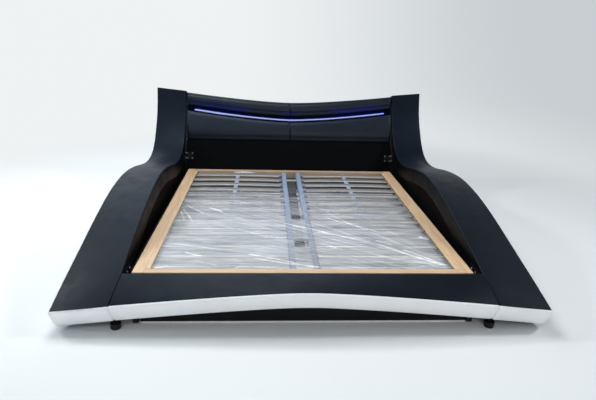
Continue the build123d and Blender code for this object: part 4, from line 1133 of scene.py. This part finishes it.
# Folds of the film: where each starts and ends, its half width and its strength
FOLDS = (
    (-0.056, -0.419, 0.444, -0.727, 0.007, 1.0), (0.444, -0.727, 0.803, -1.051, 0.009, 1.0),
    (0.174, -0.28, 0.518, -0.554, 0.0055, 0.8), (0.078, -0.542, 0.41, -0.672, 0.005, 0.6),
    (0.113, -0.731, 0.208, -0.792, 0.006, 0.8), (0.456, -0.671, 0.552, -0.743, 0.006, 0.8),
    (-0.079, -0.996, 0.088, -1.054, 0.008, 0.9), (0.075, -1.054, 0.282, -1.075, 0.006, 0.6),
    (0.16, -0.638, 0.375, -0.781, 0.005, 0.6), (0.576, -0.796, 0.808, -1.036, 0.006, 0.8),
    (0.746, -0.61, 0.803, -0.676, 0.006, 0.7), (-0.032, 0.158, 0.385, -0.153, 0.004, 0.35),
    (-0.036, 0.072, 0.439, -0.342, 0.004, 0.35), (0.799, 0.187, 0.792, -0.265, 0.005, 0.35),
    (-0.62, -0.102, -0.507, -0.204, 0.006, 0.9), (-0.796, -0.131, -0.683, -0.403, 0.005, 0.6),
    (-0.767, -0.082, -0.628, -0.242, 0.005, 0.6), (-0.799, -0.034, -0.577, -0.284, 0.005, 0.6),
    (-0.8, -0.178, -0.747, -0.374, 0.005, 0.5), (-0.58, -0.014, -0.081, -0.25, 0.004, 0.35),
    (-0.558, -0.076, -0.093, -0.38, 0.004, 0.35), (-0.454, -0.06, -0.079, -0.181, 0.004, 0.3),
    (-0.786, -0.729, -0.363, -0.853, 0.005, 0.5), (-0.673, -0.857, -0.563, -0.916, 0.007, 0.8),
    (-0.329, -0.876, -0.03, -1.0, 0.006, 0.8), (-0.289, -0.929, -0.027, -1.035, 0.006, 0.8),
    (-0.607, -0.961, -0.463, -1.031, 0.005, 0.5), (-0.803, -1.06, -0.723, -1.039, 0.007, 0.6),
    (-0.376, -1.058, -0.31, -1.037, 0.008, 0.7), (-0.101, -0.391, 0.007, -0.469, 0.006, 0.9),
    (-0.513, 0.806, -0.3, 0.8, 0.013, 1.0), (-0.82, -0.437, -0.81, -0.313, 0.006, 0.4),
    (-0.815, -0.858, -0.81, -0.626, 0.006, 0.4),
)


# Sets of faint wrinkles: where each runs out from, its first and last angle in degrees with their number, how near and
# far it reaches, its half width and its strength
FANS = (
    ((0.845, -1.07), (136, 152, 12), (0.02, 1.3), 0.0055, 0.55),
    ((0.845, -1.07), (112, 172, 30), (0.02, 0.8), 0.0045, 0.45),
    ((-0.845, -0.95), (-12, 16, 10), (0.05, 1.1), 0.0045, 0.35),
    ((-0.86, 0.1), (-62, -8, 26), (0.03, 0.42), 0.0045, 0.5),
    ((-0.845, -0.3), (-30, 20, 12), (0.02, 0.35), 0.004, 0.4),
    ((0.86, -0.1), (150, 215, 22), (0.02, 0.3), 0.004, 0.45),
    ((1.6, -1.75), (135, 150, 70), (0.9, 2.6), 0.0042, 0.42),
    ((-1.7, 0.75), (-38, -18, 50), (0.9, 2.0), 0.0042, 0.34),
)


def make_film():
    """A sheet laid over the slats, with folds where it is drawn and a gathered border."""
    sizes = bpy.context.scene.bed_sizes
    low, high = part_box("base_film")
    x = np.linspace(-FILM_HALF_WIDTH, FILM_HALF_WIDTH, FILM_COLUMNS)
    y = np.linspace(low[1] + FILM_INSET, high[1] - FILM_INSET, FILM_ROWS)
    gx, gy = np.meshgrid(x, y)
    rng = np.random.default_rng(7)
    mask = FOLD_STRENGTH * folds(gx, gy, FOLDS, rng)
    for anchor, angles, reaches, width, weight in FANS:
        mask = np.maximum(mask, FAN_STRENGTH * weight * fan(gx, gy, anchor, angles, reaches, width, rng))
    border = np.minimum(np.minimum(gx - x[0], x[-1] - gx), np.minimum(gy - y[0], y[-1] - gy))
    ripple = 0.5 + 0.5 * np.sin(gy * 150 + 3 * np.sin(gy * 17) + 5 * np.sin(gx * 9))
    gather = np.exp(-border / GATHER_REACH) * (0.3 + 0.7 * ripple)
    gz = high[2] + FILM_GAP + mask * sizes.film_wrinkle + GATHER_HEIGHT * gather
    piece = skin("wrapping_film", places(gx, gy, gz), wrap=False, caps=False, sharp=180)
    # The slat attribute marks where the film's painted highlights over the slats' front edges show: patchy, and not
    # over the middle rails
    first = (low[1] + high[1]) / 2 - SLAT_PITCH * (SLAT_COUNT - 1) / 2
    nearest = np.clip(np.round((gy - first) / SLAT_PITCH), 0, SLAT_COUNT - 1) * SLAT_PITCH + first
    patchy = 0.75 + 0.25 * np.sin(gx * 7 + nearest * 31) * np.sin(gx * 19 + nearest * 17)
    over = (np.abs(gx) > SLAT_INNER_END) * patchy
    # The haze ends nearer to the foot on the right side, and is a little thinner there
    right = 1 / (1 + np.exp(-(gx - 0.05) / 0.12))
    haze = 0.05 + (0.7 - 0.08 * right) / (1 + np.exp((gy + 0.09 + 0.11 * right) / (0.17 + 0.05 * right)))
    off_middle = np.abs(gx)
    rail = np.clip((SLAT_INNER_END - off_middle) / RAIL_BLUR, 0, 1)
    rail = rail * np.clip((off_middle - MIDDLE_RAIL_INNER) / RAIL_BLUR, 0, 1)
    plate = sum(np.exp(-((gy - place) / PLATE_BLUR) ** 4) for place in PLATE_PLACES) * (off_middle < MIDDLE_RAIL_INNER)
    haze *= (1 - 0.55 * rail) * (1 - 0.85 * np.clip(plate, 0, 1))
    haze *= 1 - 0.4 * np.exp(-(FILM_HALF_WIDTH - gx) / 0.04) - 0.25 * np.exp(-(FILM_HALF_WIDTH + gx) / 0.025)
    # The wrinkle attribute carries the folds' painted highlight and their lower clearness
    for name, values in (("wrinkle_highlight", mask + 0.2 * gather), ("veil", haze), ("slat", over)):
        set_attribute(piece, name, np.clip(values, 0, 1).ravel())
    finish_piece(piece, FINISH["wrapping_film"], body="slatted_base", nodes=("base_film",))


def make_rail_lips():
    """Narrow wooden lips inside the base's long rails, over the film's edges: a rounded strip along the bed."""
    low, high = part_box("base_film")
    y = np.linspace(low[1] + COVER_GAP, high[1] - COVER_GAP, 40)
    foot, top = high[2] + LIP_LIFT, BASE_TOP - LIP_GAP
    corners = [
        corner_at(places(FILM_HALF_WIDTH + COVER_GAP, y, foot)),
        corner_at(places(FILM_HALF_WIDTH + COVER_GAP, y, top), LIP_ROUND),
        corner_at(places(RAIL_INNER - LIP_GAP, y, top)),
        corner_at(places(RAIL_INNER - LIP_GAP, y, foot)),
    ]
    rows = outline(corners, steps=6)
    for side, place in both_sides(rows):
        piece = skin("rail_lip_" + side, place, flip=side == "right")
        finish_piece(piece, FINISH["birch_long"], body="slatted_base")


# The stage


def make_stage():
    """Floor and backdrop in one sweep: flat, then a quarter circle, then upright, with painted shade towards the right
    and the rear.
    """
    colours = bpy.context.scene.bed_colours
    floor = np.linspace(FLOOR_FRONT, FLOOR_REAR, 60)
    turn = np.linspace(0, np.pi / 2, 24)[1:]
    wall = np.linspace(SWEEP_RADIUS, SWEEP_TOP, 10)[1:]
    y = np.concatenate((floor, FLOOR_REAR + SWEEP_RADIUS * np.sin(turn), np.full(len(wall), FLOOR_REAR + SWEEP_RADIUS)))
    z = np.concatenate((np.zeros_like(floor), SWEEP_RADIUS - SWEEP_RADIUS * np.cos(turn), wall))
    x = np.linspace(-SWEEP_HALF_WIDTH, SWEEP_HALF_WIDTH, 30)
    piece = skin("studio_sweep", places(x, y[:, None], z[:, None]), wrap=False, caps=False, sharp=180)
    tree, shader = new_material("studio_paper", Roughness=0.9, Specular_IOR_Level=0.1)
    where = object_place(tree)
    split = axes(tree, where)
    # Painted shade: the paper's colour darkens towards the right and towards the rear, on both the floor and the
    # backdrop
    across = ranged(tree, split["X"], -1.5, 6.5, 0.0, 1.0)
    behind = ranged(tree, split["Y"], -2.5, 1.0, 0.3, 1.0)
    near, far = tuple(colours.background), tuple(colours.backdrop_painted_shade)
    paper_with_painted_shade = blend(tree, arithmetic(tree, "MULTIPLY", across, behind), near, far)
    feed(tree, paper_with_painted_shade, shader.inputs["Base Color"])
    glow = node(tree, "ShaderNodeEmission", Color=paper_with_painted_shade)
    distance = node(tree, "ShaderNodeVectorMath", operation="LENGTH")
    feed(tree, where, distance.inputs[0])
    beyond = ranged(tree, distance.outputs["Value"], 2.0, 4.2, 0.0, 1.0)
    path = tree.nodes.new("ShaderNodeLightPath")
    seen = arithmetic(tree, "MAXIMUM", path.outputs["Is Camera Ray"], path.outputs["Is Glossy Ray"])
    seen = arithmetic(tree, "MAXIMUM", seen, path.outputs["Is Transmission Ray"])
    whole = tree.nodes.new("ShaderNodeMixShader")
    glowing = arithmetic(tree, "MULTIPLY", beyond, seen)
    for place, value in enumerate((glowing, shader.outputs[0], glow.outputs[0])):
        feed(tree, value, whole.inputs[place])
    feed(tree, whole.outputs[0], tree.nodes["Material Output"].inputs["Surface"])
    piece.data.materials.append(FINISH["studio_paper"])


def make_world():
    """Even light, and a pale colour behind the sweep for the camera."""
    world = bpy.data.worlds.new("studio")
    bpy.context.scene.world = world
    world.use_nodes = True
    tree = world.node_tree
    back = tree.nodes["Background"]
    back.inputs["Color"].default_value = (0.93, 0.96, 1.0, 1)
    seen = tree.nodes.new("ShaderNodeLightPath").outputs["Is Camera Ray"]
    room = bpy.context.scene.bed_lamps.room
    feed(tree, ranged(tree, seen, 0.0, 1.0, room, 0.85), back.inputs["Strength"])


def softbox(name, place, aim, size, power, colour=(1, 1, 1)):
    """A rectangular lamp that faces a point."""
    lamp = bpy.data.lights.new(name, "AREA")
    lamp.shape = "RECTANGLE"
    lamp.size, lamp.size_y = size
    lamp.energy = power
    lamp.color = colour
    holder = bpy.data.objects.new(name, lamp)
    bpy.context.collection.objects.link(holder)
    holder.visible_camera = False
    back = unit(np.array(place, float) - np.array(aim, float))
    side = unit(np.cross([0.0, 0.0, 1.0], back)) if abs(back[2]) < 0.99 else np.array([1.0, 0, 0])
    up = np.cross(back, side)
    rows = [(side[i], up[i], back[i], place[i]) for i in range(3)]
    holder.matrix_world = Matrix((*rows, (0, 0, 0, 1)))


def make_lamps():
    """Softboxes on both sides, behind, over and before the bed."""
    lamps = bpy.context.scene.bed_lamps
    middle = (0.0, 0.0, 0.2)
    cool = (0.76, 0.88, 1.0)
    softbox("left_lamp", (-4.1, 0.5, 3.2), middle, (0.6, 0.6), lamps.left)
    softbox("right_lamp", (4.3, -0.9, 3.7), middle, (0.6, 0.6), lamps.right)
    softbox("rear_panel", (-2.0, 4.6, 4.0), middle, (5.4, 3.0), lamps.rear, cool)
    softbox("top_lamp", (-0.9, 0.4, 4.2), middle, (2.6, 1.8), lamps.top)
    softbox("high_lamp", (-1.8, -5.0, 3.9), middle, (2.4, 1.6), lamps.high, cool)
    softbox("low_lamp", (1.0, -6.5, 1.2), middle, (3.0, 1.0), lamps.low)


def make_camera():
    """The camera that took the photo, from its turn about the upright, its tilt and its roll."""
    yaw, pitch, roll = CAMERA_YAW, CAMERA_PITCH, CAMERA_ROLL
    ahead = np.array([np.sin(yaw) * np.cos(pitch), np.cos(yaw) * np.cos(pitch), -np.sin(pitch)])
    level = np.array([np.cos(yaw), -np.sin(yaw), 0.0])
    up = np.cross(level, ahead)
    right = np.cos(roll) * level + np.sin(roll) * up
    top = -np.sin(roll) * level + np.cos(roll) * up
    data = bpy.data.cameras.new("photo_camera")
    data.lens = CAMERA_LENS
    data.sensor_width = SENSOR_WIDTH
    data.sensor_fit = "HORIZONTAL"
    data.clip_end = 100.0
    camera = bpy.data.objects.new("photo_camera", data)
    bpy.context.collection.objects.link(camera)
    rows = [(right[i], top[i], -ahead[i], CAMERA_PLACE[i]) for i in range(3)]
    camera.matrix_world = Matrix((*rows, (0, 0, 0, 1)))
    bpy.context.scene.camera = camera


def set_stage():
    """Everything round the bed."""
    make_stage()
    make_world()
    make_lamps()
    make_camera()
    bpy.context.scene.view_settings.view_transform = "Standard"


# The add-on


class BED_OT_finishes(bpy.types.Operator):
    """Makes every material of the bed"""

    bl_idname = "bed.finishes"
    bl_label = "Make finishes"

    def execute(self, context):
        make_finishes()
        return {"FINISHED"}


class BED_OT_solids(bpy.types.Operator):
    """Gives the solids that stay in view their finishes"""

    bl_idname = "bed.solids"
    bl_label = "Dress solids"

    def execute(self, context):
        dress_solids()
        return {"FINISHED"}


class BED_OT_sides(bpy.types.Operator):
    """Makes the padded side rails with their white edges, fronts and wing tops"""

    bl_idname = "bed.sides"
    bl_label = "Side rails"

    def execute(self, context):
        make_side_pads()
        make_side_bands()
        make_side_noses()
        return {"FINISHED"}


class BED_OT_foot(bpy.types.Operator):
    """Makes the padded foot with its white band"""

    bl_idname = "bed.foot"
    bl_label = "Foot"

    def execute(self, context):
        make_foot_pad()
        make_foot_band()
        return {"FINISHED"}


class BED_OT_cushions(bpy.types.Operator):
    """Makes both cushions of the headboard"""

    bl_idname = "bed.cushions"
    bl_label = "Headboard cushions"

    def execute(self, context):
        make_headboard()
        return {"FINISHED"}


class BED_OT_light(bpy.types.Operator):
    """Makes the lens of the light in the headboard's groove"""

    bl_idname = "bed.light"
    bl_label = "Light lens"

    def execute(self, context):
        make_light_lens()
        return {"FINISHED"}


class BED_OT_film(bpy.types.Operator):
    """Makes the wrapping film over the slats"""

    bl_idname = "bed.film"
    bl_label = "Wrapping film"

    def execute(self, context):
        make_film()
        return {"FINISHED"}


class BED_OT_rail_lips(bpy.types.Operator):
    """Makes the wooden lips inside the base's long rails"""

    bl_idname = "bed.rail_lips"
    bl_label = "Rail lips"

    def execute(self, context):
        make_rail_lips()
        return {"FINISHED"}


class BED_OT_stage(bpy.types.Operator):
    """Makes the floor, the lamps and the camera"""

    bl_idname = "bed.stage"
    bl_label = "Stage"

    def execute(self, context):
        set_stage()
        return {"FINISHED"}


OPERATORS = (
    BED_OT_finishes, BED_OT_solids, BED_OT_sides, BED_OT_foot, BED_OT_cushions, BED_OT_light, BED_OT_film,
    BED_OT_rail_lips, BED_OT_stage,
)


class BED_PT_panel(bpy.types.Panel):
    """Lists the bed's operators and sizes"""

    bl_label = "Bed"
    bl_idname = "BED_PT_panel"
    bl_space_type = "VIEW_3D"
    bl_region_type = "UI"
    bl_category = "Bed"

    def draw(self, context):
        """Draws one button for each operator, then the values."""
        for made in OPERATORS:
            self.layout.operator(made.bl_idname)
        for group in (context.scene.bed_sizes, context.scene.bed_colours, context.scene.bed_lamps):
            for name in group.__annotations__:
                self.layout.prop(group, name)


CLASSES = (BedSizes, BedColours, BedLamps, *OPERATORS, BED_PT_panel)


def register():
    """Registers the classes and hangs the values on the scene."""
    for made in CLASSES:
        bpy.utils.register_class(made)
    bpy.types.Scene.bed_sizes = PointerProperty(type=BedSizes)
    bpy.types.Scene.bed_colours = PointerProperty(type=BedColours)
    bpy.types.Scene.bed_lamps = PointerProperty(type=BedLamps)


def unregister():
    """Takes the values and the classes away again."""
    del bpy.types.Scene.bed_sizes
    del bpy.types.Scene.bed_colours
    del bpy.types.Scene.bed_lamps
    for made in reversed(CLASSES):
        bpy.utils.unregister_class(made)


def main():
    """Makes the whole bed."""
    register()
    bpy.ops.bed.finishes()
    bpy.ops.bed.solids()
    bpy.ops.bed.sides()
    bpy.ops.bed.foot()
    bpy.ops.bed.cushions()
    bpy.ops.bed.light()
    bpy.ops.bed.film()
    bpy.ops.bed.rail_lips()
    bpy.ops.bed.stage()


if __name__ == "__main__":
    main()
